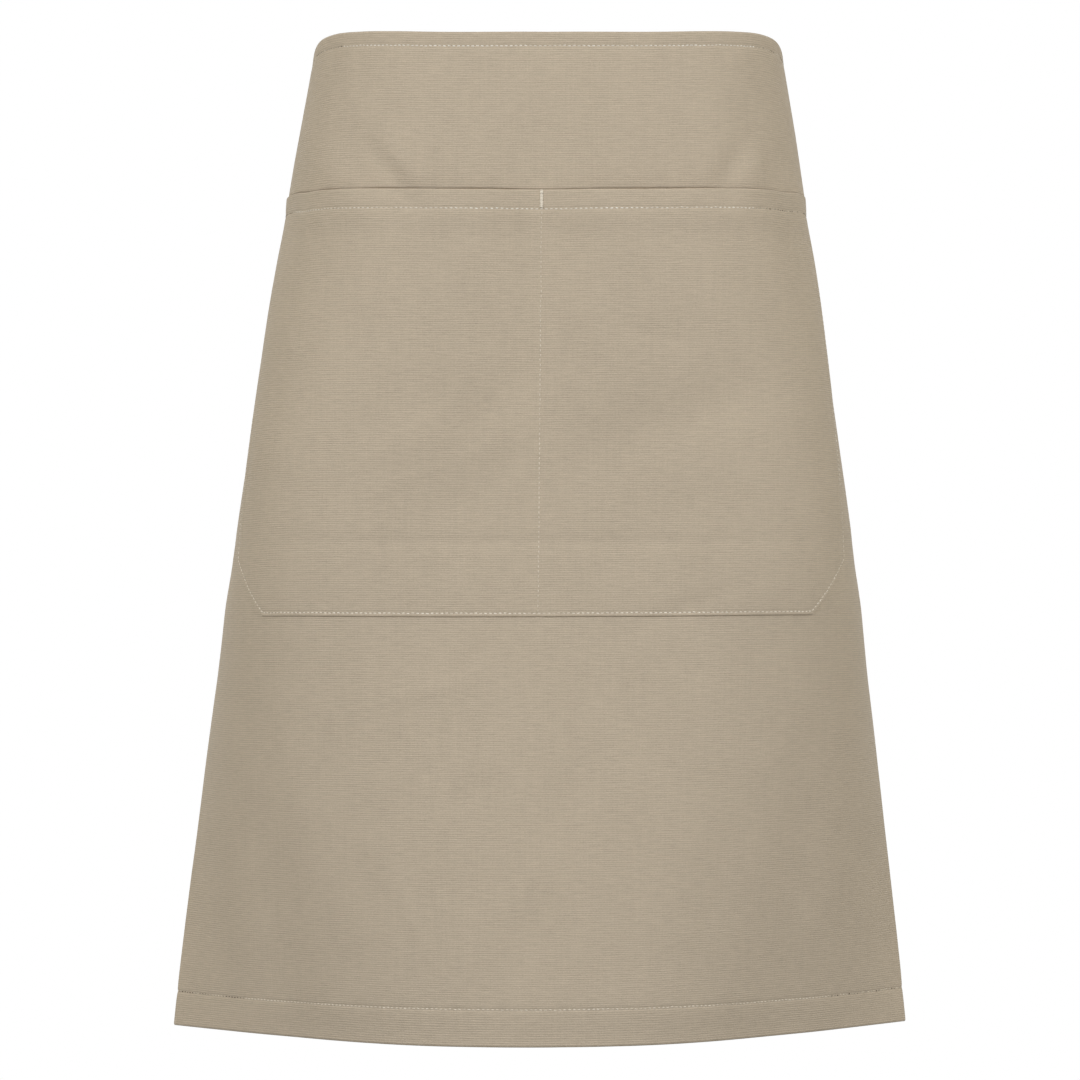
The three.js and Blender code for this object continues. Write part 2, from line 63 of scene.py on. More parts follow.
# Panel
PANEL_WIDTH = 570
PANEL_LENGTH = 600
CLOTH = 1.1
FRONT_REACH = 100
EDGE_DIP = 12
HEM_LEAN = 5
DIP_FADE = 3
SIDE_LIFT = 5
LIFT_FROM = 0.54
LIFT_FULL = 0.7
LIFT_LEVEL = 0.14
LIFT_HOLDS = 0.2
LIFT_GONE = 0.5
HEM_TILT = 1.2
HEM_RISE = 0.4
HALF_WIDTH = PANEL_WIDTH / 2
HEM_CLOTH = 1.4
WAIST_HEM = 10
BOTTOM_HEM = 23
SIDE_HEM = 12
SEAM_GAP = 0.3
FOLD_RELIEF = 3
HEM_CURL = 2.2
CURL_FADES = (0.45, 0.8)
HEM_HANG = 1.4
HANG_FADES = (0.2, 0.85)

# Pocket
POCKET_WIDTH = 430
POCKET_HEIGHT = 252
POCKET_DROP = 94
POCKET_OFFSET = -3
CORNER_WIDTH = 38
CORNER_HEIGHT = 34
MOUTH_HEM = 13
MOUTH_HEM_INSET = 22
MOUTH_GAPE = 10
GAPE_DEPTH = 230
GAPE_OPEN_BY = 0.2
GAPE_CLOSES_FROM = 0.4
GAPE_CLOSED_BY = 0.85
MOUTH_FADE = 16
SEAM_HOLD = 1.5
BED_DEPTH = 1.4
BED_FROM = 0.6
BED_FULL = 0.9
BED_STARTS = -3
BED_ENDS = 18
POCKET_LEFT = POCKET_OFFSET - POCKET_WIDTH / 2
RIGHT_SEAM_IN = 4.5
POCKET_RIGHT = POCKET_OFFSET + POCKET_WIDTH / 2 - RIGHT_SEAM_IN
POCKET_BOTTOM = POCKET_DROP + POCKET_HEIGHT
CORNER_START = POCKET_BOTTOM - CORNER_HEIGHT

# Ties
TIE_WIDTH = 25
TIE_CLOTH = 2
TIE_SEWN = 28
TIE_DROP = 2
TAIL_LENGTH = 260
TAIL_SPREAD = 16
WAIST_BACK = 104

# Sewing
STITCH_PITCH = 2.87
STITCH_LENGTH = 1.95
STITCH_WIDTH = 0.62
STITCH_HEIGHT = 0.36
WAIST_STITCH = 8.4
BOTTOM_STITCH = 21.2
SIDE_STITCH = 10.2
MOUTH_STITCH = 11.3
POCKET_STITCH = 2.1
TIE_STITCH = 2.2
# Length, width and height of the stitches of each kind
PLAIN_STITCH = (STITCH_LENGTH, STITCH_WIDTH, STITCH_HEIGHT)
SUNK_STITCH = (1.4, 0.72, 0.34)
DIVIDER_STITCH = (STITCH_LENGTH * 0.9, 0.56, STITCH_HEIGHT)
BAND_STITCH = (STITCH_LENGTH, STITCH_WIDTH * 0.9, STITCH_HEIGHT)
BAR_STITCH = (2.3, 0.62, 0.9)
# How far stitches lie above their cloth
STITCH_LIFT = 0.05
SUNK_LIFT = 0.02

# How seams pull their cloth in: depth and width at the thread, and of the softer dip round it
WAIST_GROOVE = ((0.30, 1.1), (0.18, 4))
BOTTOM_GROOVE = ((0.30, 1.1), (0.22, 5))
SIDE_GROOVE = ((0.10, 2.2),)
HEM_GROOVE = ((0.28, 1.1),)
POCKET_GROOVE = ((0.28, 0.9),)
MOUTH_GROOVE = ((0.30, 1.1), (0.15, 4))
FOLD_GROOVE = ((0.2, 1.1),)
DIVIDER_GROOVE = ((0.25, 1.2),)

# The longest steps between the lines of each grid of cloth
PANEL_STEP = 3.3
POCKET_STEP = 2.6
MOUTH_STEP = 2.4
HEM_STEP = 2.2


def table(columns, *rows):
    """Rows of values as dictionaries, under the named columns."""
    return [dict(zip(columns.split(), row)) for row in rows]


# How each level of the panel curves, as in the solids
SECTIONS = table(
    "level quarter half three edge reach lean",
    (0.0, 18, 56.2, 100, 150, 1.0, 0.0),
    (0.08, 16, 51.8, 94, 138, 1.04, 0.1),
    (0.16, 14, 47, 90, 128, 1.07, 0.2),
    (0.3, 10, 35.5, 86, 115, 1.11, 0.35),
    (0.5, 7, 28.5, 72.2, 104, 1.12, 0.55),
    (0.65, 11, 30, 64, 91, 1.12, 0.7),
    (0.82, 16, 33, 58, 72, 1.1, 0.9),
    (1.0, 23, 39, 47.8, 51, 1.04, 1.0),
)

TOP_EDGE = table(
    "across rise",
    (0.0, 0.06), (0.25, 0.14), (0.33, 0.23),
    (0.42, 0.32), (0.52, 0.33), (0.6, 0.12),
    (0.68, -0.42), (0.8, -0.78), (1.0, -1.0),
)

# Folds and creases: across is a share of the half width, down, long and wide of the panel's length
FOLDS = table(
    "across down long wide slant relief",
    (-0.335, 0.138, 0.04, 0.012, 45, -0.6),
    (-0.5, 0.132, 0.04, 0.022, 35, 0.4),
    (0.515, 0.125, 0.045, 0.013, 50, -0.65),
    (0.47, 0.132, 0.035, 0.016, -50, 0.32),
    (0.4, 0.136, 0.035, 0.014, -50, -0.45),
    (-0.14, 0.385, 0.06, 0.022, -42, -0.55),
    (-0.25, 0.405, 0.08, 0.025, -14, 0.5),
    (-0.13, 0.445, 0.06, 0.02, -35, -0.35),
    (0.32, 0.375, 0.11, 0.03, -20, -0.55),
    (0.05, 0.8, 0.25, 0.009, 90, -0.35),
    (-0.62, 0.86, 0.16, 0.04, 84, -0.8),
    (0.58, 0.84, 0.18, 0.045, 96, -0.7),
    (-0.3, 0.78, 0.2, 0.05, 86, 0.6),
    (0.3, 0.8, 0.2, 0.05, 94, 0.6),
    (0.0, 0.504, 0.4, 0.008, 0, -0.12),
)

# Fine creases too narrow for the solids, in the same columns. The first four rows move the two
# puckers above the mouth
CREASES = table(
    "across down long wide slant relief",
    (-0.31, 0.134, 0.038, 0.012, 45, 0.3),
    (-0.395, 0.143, 0.026, 0.012, 40, -0.26),
    (0.495, 0.125, 0.04, 0.012, 50, 0.22),
    (0.565, 0.122, 0.03, 0.008, 50, -0.3),
    (0.4, 0.136, 0.022, 0.008, -52, -0.12),
    (0.56, 0.205, 0.012, 0.005, 80, -0.3),
    (-0.52, 0.215, 0.016, 0.004, 68, 0.2),
    (-0.56, 0.31, 0.016, 0.004, 72, 0.18),
    (0.055, 0.7, 0.08, 0.004, 89, -0.16),
    (0.06, 0.83, 0.08, 0.0038, 90, -0.2),
    (0.075, 0.93, 0.06, 0.0042, 91, -0.16),
    (-0.25, 0.502, 0.12, 0.0035, 0, -0.1),
    (0.18, 0.503, 0.13, 0.0035, 0, -0.1),
    (-0.14, 0.616, 0.026, 0.006, -42, -0.2),
    (-0.24, 0.65, 0.05, 0.007, -13, 0.22),
    (-0.12, 0.742, 0.032, 0.0065, -38, -0.2),
    (0.29, 0.57, 0.075, 0.0075, -22, -0.2),
    (-0.3, 0.855, 0.07, 0.008, 60, 0.16),
    (0.36, 0.88, 0.06, 0.0075, 110, -0.16),
    (0.22, 0.3, 0.05, 0.006, 12, -0.12),
    (-0.28, 0.44, 0.06, 0.006, -20, 0.12),
)

# Where the panel is pressed in above the pocket's mouth, and how deep there, in millimetres
MOUTH_PRESS = table(
    "across depth",
    (-200, 0.45), (-143, 0.95), (-126, 0.55), (-95, 1.0),
    (-72, 0.6), (-35, 1.0), (-3, 0.55), (14, 0.6),
    (50, 1.0), (84, 0.8), (112, 0.5), (200, 0.4),
)
PRESS_WIDE = 0.55
PRESS_FADE = 20
# The camera sees the mouth's lip this much higher on the panel for each millimetre that it stands off
LIP_SEEN_HIGHER = 0.06

# Small wrinkles over the whole cloth: size of a wrinkle across and down, and its height
WRINKLES = table(
    "across down height",
    (95, 130, 0.55),
    (34, 52, 0.22),
    (12, 17, 0.07),
)


# Camera

def add_object(name, data):
    thing = bpy.data.objects.new(name, data)
    bpy.context.scene.collection.objects.link(thing)
    return thing


def add_camera():
    data = bpy.data.cameras.new("camera")
    data.sensor_width = SENSOR
    data.lens = SENSOR * CAMERA_DISTANCE / (PHOTO_SIDE * PIXEL)
    camera = add_object("camera", data)
    camera.location = (CAMERA_X * MM, (FRONT_PLANE - CAMERA_DISTANCE) * MM, CAMERA_Z * MM)
    camera.rotation_euler = (math.pi / 2, 0, 0)
    bpy.context.scene.camera = camera


add_camera()


# The worn surface

def ease(t):
    return t * t * (3 - 2 * t)


def smooth(value, low, high):
    return ease(np.clip((value - low) / (high - low), 0, 1))


def along_table(rows, key, column, at):
    """The table's column at one or more places along its key, as a curve through the rows."""
    keys = np.array([row[key] for row in rows], float)
    values = np.array([row[column] for row in rows], float)
    spans = np.diff(keys)
    steep = np.diff(values) / spans
    slopes = np.empty_like(values)
    slopes[0], slopes[-1] = steep[0], steep[-1]
    slopes[1:-1] = (steep[:-1] * spans[1:] + steep[1:] * spans[:-1]) / (spans[:-1] + spans[1:])
    place = np.clip(np.asarray(at, float), keys[0], keys[-1])
    row = np.clip(np.searchsorted(keys, place, side="right") - 1, 0, len(spans) - 1)
    t = (place - keys[row]) / spans[row]
    rest = 1 - t
    return (
        values[row] * (1 + 2 * t) * rest * rest
        + values[row + 1] * (1 + 2 * rest) * t * t
        + slopes[row] * spans[row] * t * rest * rest
        - slopes[row + 1] * spans[row] * t * t * rest
    )


LEVELS = 300
STATIONS = 480


def level_curves():
    """x, y and turn of every level at every station from the middle of the front to the side edge."""
    levels = np.linspace(0, 1, LEVELS + 1)
    shares = np.linspace(0, 1, STATIONS + 1)
    names = ("quarter", "half", "three", "edge")
    columns = [along_table(SECTIONS, "level", name, levels) for name in names]
    turns = np.zeros((LEVELS + 1, STATIONS + 1))
    for index in range(LEVELS + 1):
        places = [0, 0.25, 0.5, 0.75, 1]
        bends = [{"across": a, "turn": t} for a, t in zip(places, [0] + [c[index] for c in columns])]
        turns[index] = np.radians(along_table(bends, "across", "turn", shares))
    middle = (turns[:, 1:] + turns[:, :-1]) / 2
    step = HALF_WIDTH / STATIONS
    xs = np.zeros_like(turns)
    ys = np.zeros_like(turns)
    xs[:, 1:] = np.cumsum(np.cos(middle) * step, axis=1)
    ys[:, 1:] = np.cumsum(np.sin(middle) * step, axis=1)
    return xs, ys, turns


CURVE_X, CURVE_Y, CURVE_TURN = level_curves()


def between(grid, row, column, eased=lambda share: share):
    """A value between a grid's points, for arrays of places counted in its rows and columns."""
    top, left = row.astype(int), column.astype(int)
    down, right = eased(row - top), eased(column - left)
    above = grid[top, left] * (1 - right) + grid[top, left + 1] * right
    below = grid[top + 1, left] * (1 - right) + grid[top + 1, left + 1] * right
    return above * (1 - down) + below * down


def look_up(grid, level, share):
    """A value between the levels and stations of the worn surface."""
    row = np.clip(level * LEVELS, 0, LEVELS - 1e-6)
    return between(grid, row, np.clip(share * STATIONS, 0, STATIONS - 1e-6))


def fold_relief(across, down):
    relief = np.zeros(np.broadcast(across, down).shape)
    for fold in FOLDS + CREASES:
        right = across - fold["across"] * HALF_WIDTH
        below = down - fold["down"] * PANEL_LENGTH
        slant = math.radians(fold["slant"])
        onward = (right * math.cos(slant) + below * math.sin(slant)) / (fold["long"] * PANEL_LENGTH)
        aside = (below * math.cos(slant) - right * math.sin(slant)) / (fold["wide"] * PANEL_LENGTH)
        relief += fold["relief"] * FOLD_RELIEF * np.exp(-onward * onward - aside * aside)
    return relief


NOISE_STEP = 2.5
NOISE_MARGIN = 5
NOISE_LAYER = 7.3


def wrinkle_grid():
    """Soft wrinkles of several sizes, worked out once on a grid over the panel."""
    past = NOISE_MARGIN + NOISE_STEP
    columns = np.arange(-HALF_WIDTH - NOISE_MARGIN, HALF_WIDTH + past, NOISE_STEP)
    rows = np.arange(-NOISE_MARGIN, PANEL_LENGTH + past, NOISE_STEP)
    grid = np.zeros((len(rows), len(columns)))
    for layer, size in enumerate(WRINKLES):
        for r, down in enumerate(rows):
            for c, across in enumerate(columns):
                point = Vector((across / size["across"], down / size["down"], NOISE_LAYER * layer))
                grid[r, c] += size["height"] * noise.noise(point)
    return columns, rows, grid


WRINKLE_COLUMNS, WRINKLE_ROWS, WRINKLE_GRID = wrinkle_grid()


def wrinkles(across, down):
    column = np.clip((across - WRINKLE_COLUMNS[0]) / NOISE_STEP, 0, len(WRINKLE_COLUMNS) - 1.001)
    row = np.clip((down - WRINKLE_ROWS[0]) / NOISE_STEP, 0, len(WRINKLE_ROWS) - 1.001)
    return between(WRINKLE_GRID, row, column, ease)


def pocket_bed(across, down):
    """How far the panel sinks in behind the pocket towards its sides, which is less than in the
    solids because the pocket's cloth is pressed thinner here."""
    share = np.abs(across - POCKET_OFFSET) / (POCKET_WIDTH / 2)
    below_mouth = smooth(down - POCKET_DROP, BED_STARTS, BED_ENDS)
    above_bottom = smooth(POCKET_BOTTOM - down, 0, CORNER_HEIGHT)
    return BED_DEPTH * smooth(share, BED_FROM, BED_FULL) * below_mouth * above_bottom


def hem_curl(share, down):
    """The bottom hem's own stiffness turns it in a little, less so towards its corners."""
    in_hem = smooth(down, PANEL_LENGTH - BOTTOM_HEM - 2, PANEL_LENGTH)
    return HEM_CURL * in_hem * (1 - smooth(share, *CURL_FADES))


def hem_hang(share, down):
    """The hem's own weight draws it down a little in the middle of the front."""
    in_hem = smooth(down, PANEL_LENGTH - BOTTOM_HEM, PANEL_LENGTH)
    return HEM_HANG * in_hem * (1 - smooth(share, *HANG_FADES))


def side_lift(share, level):
    """How far the cloth below the waist is drawn up at the sides, as in the solids."""
    dying = smooth(level, LIFT_HOLDS, LIFT_GONE)
    return SIDE_LIFT * smooth(share, LIFT_FROM, LIFT_FULL) * smooth(level, 0, LIFT_LEVEL) * (1 - dying)


def on_panel(across, down, out):
    """Points of the worn cloth, in millimetres, for arrays of cloth coordinates."""
    across, down, out = np.broadcast_arrays(*(np.asarray(v, float) for v in (across, down, out)))
    level = down / PANEL_LENGTH
    share = np.minimum(np.abs(across) / HALF_WIDTH, 1)
    side = np.where(across < 0, -1.0, 1.0)
    turn = side * look_up(CURVE_TURN, level, share)
    lean = HEM_LEAN * along_table(SECTIONS, "level", "lean", level)
    reach = FRONT_REACH * along_table(SECTIONS, "level", "reach", level)
    top_edge = EDGE_DIP * along_table(TOP_EDGE, "across", "rise", share)
    proud = out + fold_relief(across, down) + wrinkles(across, down)
    proud = proud - pocket_bed(across, down) - hem_curl(share, down)
    hem_lift = HEM_RISE * share * share + HEM_TILT * share * side
    x = side * look_up(CURVE_X, level, share) - lean + np.sin(turn) * proud
    y = look_up(CURVE_Y, level, share) - reach - np.cos(turn) * proud
    z = top_edge * (1 - level) ** DIP_FADE + side_lift(share, level) + hem_lift * level
    z = z - down - hem_hang(share, down)
    return np.stack([x, y, z], axis=-1)


# Meshes

def lines(stops, longest, fine=(), fine_step=0.7, fine_reach=3.5):
    """Even lines between the stops, with closer ones beside each place named in fine."""
    low, high = min(stops), max(stops)
    marks = set(stops)
    for place in fine:
        for offset in np.arange(-fine_reach, fine_reach + fine_step / 2, fine_step):
            if low < place + offset < high:
                marks.add(place + offset)
    marks = sorted(marks)
    kept = [marks[0]]
    for mark in marks[1:]:
        if mark - kept[-1] < fine_step * 0.4 and mark not in stops:
            continue
        steps = max(1, math.ceil((mark - kept[-1]) / longest - 1e-6))
        start = kept[-1]
        kept += [start + (mark - start) * step / steps for step in range(1, steps + 1)]
    return np.array(kept)


def rounded_stops(edge, inward, radius, steps=5, last=84):
    """Places that round an edge: from a radius inside it almost out to it."""
    centre = edge + inward * radius
    angles = (math.radians(last * k / steps) for k in range(steps + 1))
    return [centre - inward * radius * math.sin(angle) for angle in angles]


def rounded_ends(low, high, radius, steps=5):
    return rounded_stops(low, 1, radius, steps) + rounded_stops(high, -1, radius, steps)


def make_object(name, points, faces, uvs=None, sharp=50):
    mesh = bpy.data.meshes.new(name)
    mesh.from_pydata((np.asarray(points) * MM).tolist(), [], faces)
    if uvs is not None:
        layer = mesh.uv_layers.new(name="cloth")
        corners = np.empty(len(mesh.loops), int)
        mesh.loops.foreach_get("vertex_index", corners)
        layer.data.foreach_set("uv", (np.asarray(uvs) * MM)[corners].ravel())
    mesh.polygons.foreach_set("use_smooth", [True] * len(mesh.polygons))
    mesh.set_sharp_from_angle(angle=math.radians(sharp))
    mesh.update()
    return add_object(name, mesh)


def grid_faces(rows, columns):
    """Quads of a closed wall between an outer and an inner grid of points."""
    size = rows * columns
    r, c = np.meshgrid(np.arange(rows - 1), np.arange(columns - 1), indexing="ij")
    a = (r * columns + c).ravel()
    top, left = np.arange(columns - 1), np.arange(rows - 1) * columns
    low, right = top + (rows - 1) * columns, left + columns - 1
    quads = [
        (a, a + columns, a + columns + 1, a + 1),
        (a + size, a + 1 + size, a + columns + 1 + size, a + columns + size),
        (top, top + 1, top + 1 + size, top + size),
        (low, low + size, low + 1 + size, low + 1),
        (left, left + size, left + columns + size, left + columns),
        (right, right + columns, right + columns + size, right + size),
    ]
    return np.concatenate([np.stack(quad, axis=1) for quad in quads]).tolist()


def tube_faces(rings, sides):
    """Faces of a closed tube whose points go ring by ring."""
    faces = []
    for low in range(0, (rings - 1) * sides, sides):
        for k in range(sides):
            after = (k + 1) % sides
            faces.append([low + k, low + after, low + sides + after, low + sides + k])
    last = (rings - 1) * sides
    return faces + [list(range(sides))[::-1], list(range(last, last + sides))]


def cloth_wall(name, across, down, outer, inner, grain=(0, 0)):
    """A closed sheet between the faces outer and inner, given over a grid of cloth coordinates."""
    rows, columns = across.shape
    points = np.concatenate([
        on_panel(across, down, outer).reshape(-1, 3),
        on_panel(across, down, inner).reshape(-1, 3),
    ])
    flat = np.stack([across.ravel() + grain[0], -down.ravel() + grain[1]], axis=1)
    return make_object(name, points, grid_faces(rows, columns), np.concatenate([flat, flat]))


def bulge(distance, radius):
    """How far a rounded edge falls back from its face at a distance inside the edge."""
    inside = np.clip(radius - distance, 0, radius)
    return radius - np.sqrt(np.maximum(radius * radius - inside * inside, 0))


def valley(distance, width):
    return np.exp(-(distance / width) ** 2)


def groove(distance, shape):
    """How far a seam pulls its cloth in at a distance from the thread."""
    return sum(depth * valley(distance, width) for depth, width in shape)


# Panel and hems: the panel's edges are rounded as thick as panel and hem together, and each hem
# lies flush inside that rounded edge, so that the two read as cloth folded back

EDGE_THICK = CLOTH + SEAM_GAP + HEM_CLOTH
EDGE_ROUND = EDGE_THICK / 2
EDGE_LEFT = 0.15
LIP = 1.6
LIP_GAP = 0.06
THINNEST = 0.2


def edge_distances(across, down):
    """Distances to the side edge, the top edge and the bottom edge."""
    return HALF_WIDTH - np.abs(across), down, PANEL_LENGTH - down


def edge_rim(across, down):
    """How far the panel's faces fall back where its edges are rounded."""
    rim = sum(bulge(distance, EDGE_ROUND) for distance in edge_distances(across, down))
    return np.minimum(rim, EDGE_ROUND - EDGE_LEFT)


def to_pocket_side(across):
    """Distance in from the nearer side of the pocket."""
    return np.minimum(across - POCKET_LEFT, POCKET_RIGHT - across)


def pocket_ends(inset):
    """The places across at an inset from the pocket's left and right side."""
    return [POCKET_LEFT + inset, POCKET_RIGHT - inset]


def panel_face(across, down):
    """Relief of the panel's outer face: rounded edges, seams pulled in and the press above the mouth."""
    side, top, bottom = edge_distances(across, down)
    relief = -edge_rim(across, down)
    relief -= groove(top - WAIST_STITCH, WAIST_GROOVE)
    relief -= groove(bottom - BOTTOM_STITCH, BOTTOM_GROOVE)
    relief -= groove(side - SIDE_STITCH, SIDE_GROOVE)
    lip_edge = POCKET_DROP - LIP_SEEN_HIGHER * (pocket_stand_off(across, POCKET_DROP) + CLOTH)
    press = along_table(MOUTH_PRESS, "across", "depth", across)
    press = press * smooth(to_pocket_side(across), 0, PRESS_FADE)
    relief -= press * valley(down - lip_edge, PRESS_WIDE)
    return relief


def build_panel():
    lip_rows = [LIP, LIP + LIP_GAP / 2, PANEL_LENGTH - LIP, PANEL_LENGTH - LIP - LIP_GAP / 2]
    lip_columns = [HALF_WIDTH - LIP, HALF_WIDTH - LIP - LIP_GAP / 2]
    lip_columns += [-place for place in lip_columns]
    downs = lines(
        rounded_ends(0, PANEL_LENGTH, EDGE_ROUND) + lip_rows, PANEL_STEP,
        fine=(WAIST_STITCH, POCKET_DROP - 0.4, PANEL_LENGTH - BOTTOM_STITCH), fine_step=0.4, fine_reach=2.4,
    )
    side_stops = rounded_ends(-HALF_WIDTH, HALF_WIDTH, EDGE_ROUND)
    across, down = np.meshgrid(lines(side_stops + lip_columns, PANEL_STEP), downs)
    nearest = np.minimum.reduce(edge_distances(across, down))
    inner = np.where(nearest <= LIP + 1e-6, -EDGE_THICK + edge_rim(across, down), -CLOTH)
    return cloth_wall("canvas_panel", across, down, panel_face(across, down), inner)


def hem_wall(name, acrosses, downs, crossing, stitch):
    """A hem behind the panel. crossing is its grid's distance from the edge that it turns back from,
    and stitch the distance of its stitch line from that edge."""
    across, down = np.meshgrid(acrosses, downs)
    distance = crossing(across, down)
    free_edge = distance.max() - distance
    back = -EDGE_THICK + bulge(free_edge, HEM_CLOTH / 2)
    back = back + groove(distance - stitch, HEM_GROOVE)
    front = -(CLOTH + SEAM_GAP) - bulge(free_edge, HEM_CLOTH / 2)
    return cloth_wall(name, across, down, front, np.minimum(back, front - THINNEST), grain=(1.7, 0.4))


def build_hems():
    """The four hems, by the name of the solid that each stands for."""
    lap = 0.25
    bottom_edge = PANEL_LENGTH - BOTTOM_HEM
    to_side = lambda across, down: HALF_WIDTH - np.abs(across)

    def hem_lines(folded, free, inward, step, stitch, reach=1.2):
        """Lines across a hem, from where it is folded to its rounded free edge."""
        stops = [folded, free] + rounded_stops(free, inward, HEM_CLOTH / 2, 4)
        return lines(stops, step, fine=(stitch,), fine_step=0.6, fine_reach=reach)

    all_across = lines([-HALF_WIDTH + lap, HALF_WIDTH - lap], PANEL_STEP)
    side_rows = lines([WAIST_HEM + SEAM_GAP, bottom_edge - SEAM_GAP], PANEL_STEP)
    top_rows = hem_lines(LIP + LIP_GAP, WAIST_HEM, -1, HEM_STEP, WAIST_STITCH)
    bottom_rows = hem_lines(
        PANEL_LENGTH - LIP - LIP_GAP, bottom_edge, 1, POCKET_STEP, PANEL_LENGTH - BOTTOM_STITCH, 1.8)
    columns = hem_lines(
        HALF_WIDTH - LIP - LIP_GAP, HALF_WIDTH - SIDE_HEM, 1, HEM_STEP, HALF_WIDTH - SIDE_STITCH)
    hems = (
        ("waist_hem", all_across, top_rows, lambda across, down: down, WAIST_STITCH),
        ("bottom_hem", all_across, bottom_rows, lambda across, down: PANEL_LENGTH - down, BOTTOM_STITCH),
        ("left_side_hem", -columns[::-1], side_rows, to_side, SIDE_STITCH),
        ("right_side_hem", columns, side_rows, to_side, SIDE_STITCH),
    )
    return {node: hem_wall(f"{node}_fold", *shape) for node, *shape in hems}


# Pocket

POCKET_ROUND = 0.8
# The sides are folded double, from below the mouth down
POCKET_FOLD = 9
FOLD_EDGE = (-0.8, 0.4)
FOLD_EXTRA = 0.34
FOLD_STARTS = (2, 20)
# Sewing presses the cloth flatter near the edge, and the gap behind it
SEWN_FLAT = 0.32
SEWN_REACH = 22
GAP_FLAT = (3, 14)
MOUTH_CLOTH = 1.1
MOUTH_ROUND = (CLOTH + MOUTH_CLOTH) / 2
# The mouth's ends are pressed thin within a distance of the sides and of the mouth
END_THIN = 0.45
END_INWARD = (38, 75)
END_DOWNWARD = (8, 40)
MOUTH_FOLD_ROUND = 0.45
MOUTH_FOLD_GAP = 0.1
POCKET_THINNEST = 0.25
# The grid's rows in the cut corners draw together towards the sides, to this share of their step
CORNER_CLOSEST = 0.02


def end_thin(across, down):
    """What is left of the cloth's thickness where the mouth is pressed flat towards its sewn ends."""
    inward = 1 - smooth(to_pocket_side(across), *END_INWARD)
    return 1 - END_THIN * inward * (1 - smooth(down - POCKET_DROP, *END_DOWNWARD))


def pocket_stand_off(across, down):
    """Distance from the panel to the pocket's inner face: the gape as in the solids, with the sewn
    edge and the mouth's ends pressed flatter."""
    from_middle = np.abs(across - POCKET_OFFSET) - SEAM_HOLD
    share = np.clip(from_middle / (POCKET_WIDTH / 2 - SEAM_HOLD), 0, 1)
    below = down - POCKET_DROP
    hem_fade = smooth(to_pocket_side(across), 0, MOUTH_HEM_INSET)
    hem_fade = hem_fade * smooth(MOUTH_HEM + MOUTH_FADE - below, 0, MOUTH_FADE)
    gape_fade = np.cos(np.clip(below / GAPE_DEPTH, 0, 1) * math.pi / 2) ** 2
    opening = smooth(share, 0, GAPE_OPEN_BY) * (1 - smooth(share, GAPE_CLOSES_FROM, GAPE_CLOSED_BY))
    gape = MOUTH_GAPE * opening * gape_fade
    gap = SEAM_GAP * (1 - SEWN_FLAT * (1 - smooth(pocket_edge_distance(across, down), *GAP_FLAT)))
    return (gap + MOUTH_CLOTH * hem_fade) * end_thin(across, down) + gape


def pocket_edge_distance(across, down):
    """Distance to the pocket's sewn edge: its sides, cut corners and bottom."""
    from_side = to_pocket_side(across)
    from_bottom = POCKET_BOTTOM - down
    corner = from_side * CORNER_HEIGHT + from_bottom * CORNER_WIDTH - CORNER_WIDTH * CORNER_HEIGHT
    corner = corner / math.hypot(CORNER_WIDTH, CORNER_HEIGHT)
    return np.maximum(np.minimum(np.minimum(from_side, from_bottom), corner), 0)


def pocket_outer(across, down):
    """The pocket's outer face, folded double along its sides and pulled in at its seams."""
    edge = pocket_edge_distance(across, down)
    top = down - POCKET_DROP
    past_fold = smooth(to_pocket_side(across), *(POCKET_FOLD + offset for offset in FOLD_EDGE))
    doubled = FOLD_EXTRA * smooth(top, *FOLD_STARTS) * (1 - past_fold)
    thin = end_thin(across, down)
    flat = 1 - SEWN_FLAT * (1 - smooth(edge, 0, SEWN_REACH))
    relief = pocket_stand_off(across, down) + CLOTH * thin * flat * (1 + doubled)
    relief -= bulge(edge, POCKET_ROUND) + bulge(top, MOUTH_ROUND * thin) * smooth(edge, 0, MOUTH_HEM_INSET)
    relief -= groove(edge - POCKET_STITCH, POCKET_GROOVE)
    relief -= groove(top - MOUTH_STITCH, MOUTH_GROOVE)
    relief -= groove(np.abs(across - POCKET_OFFSET), DIVIDER_GROOVE)
    return relief


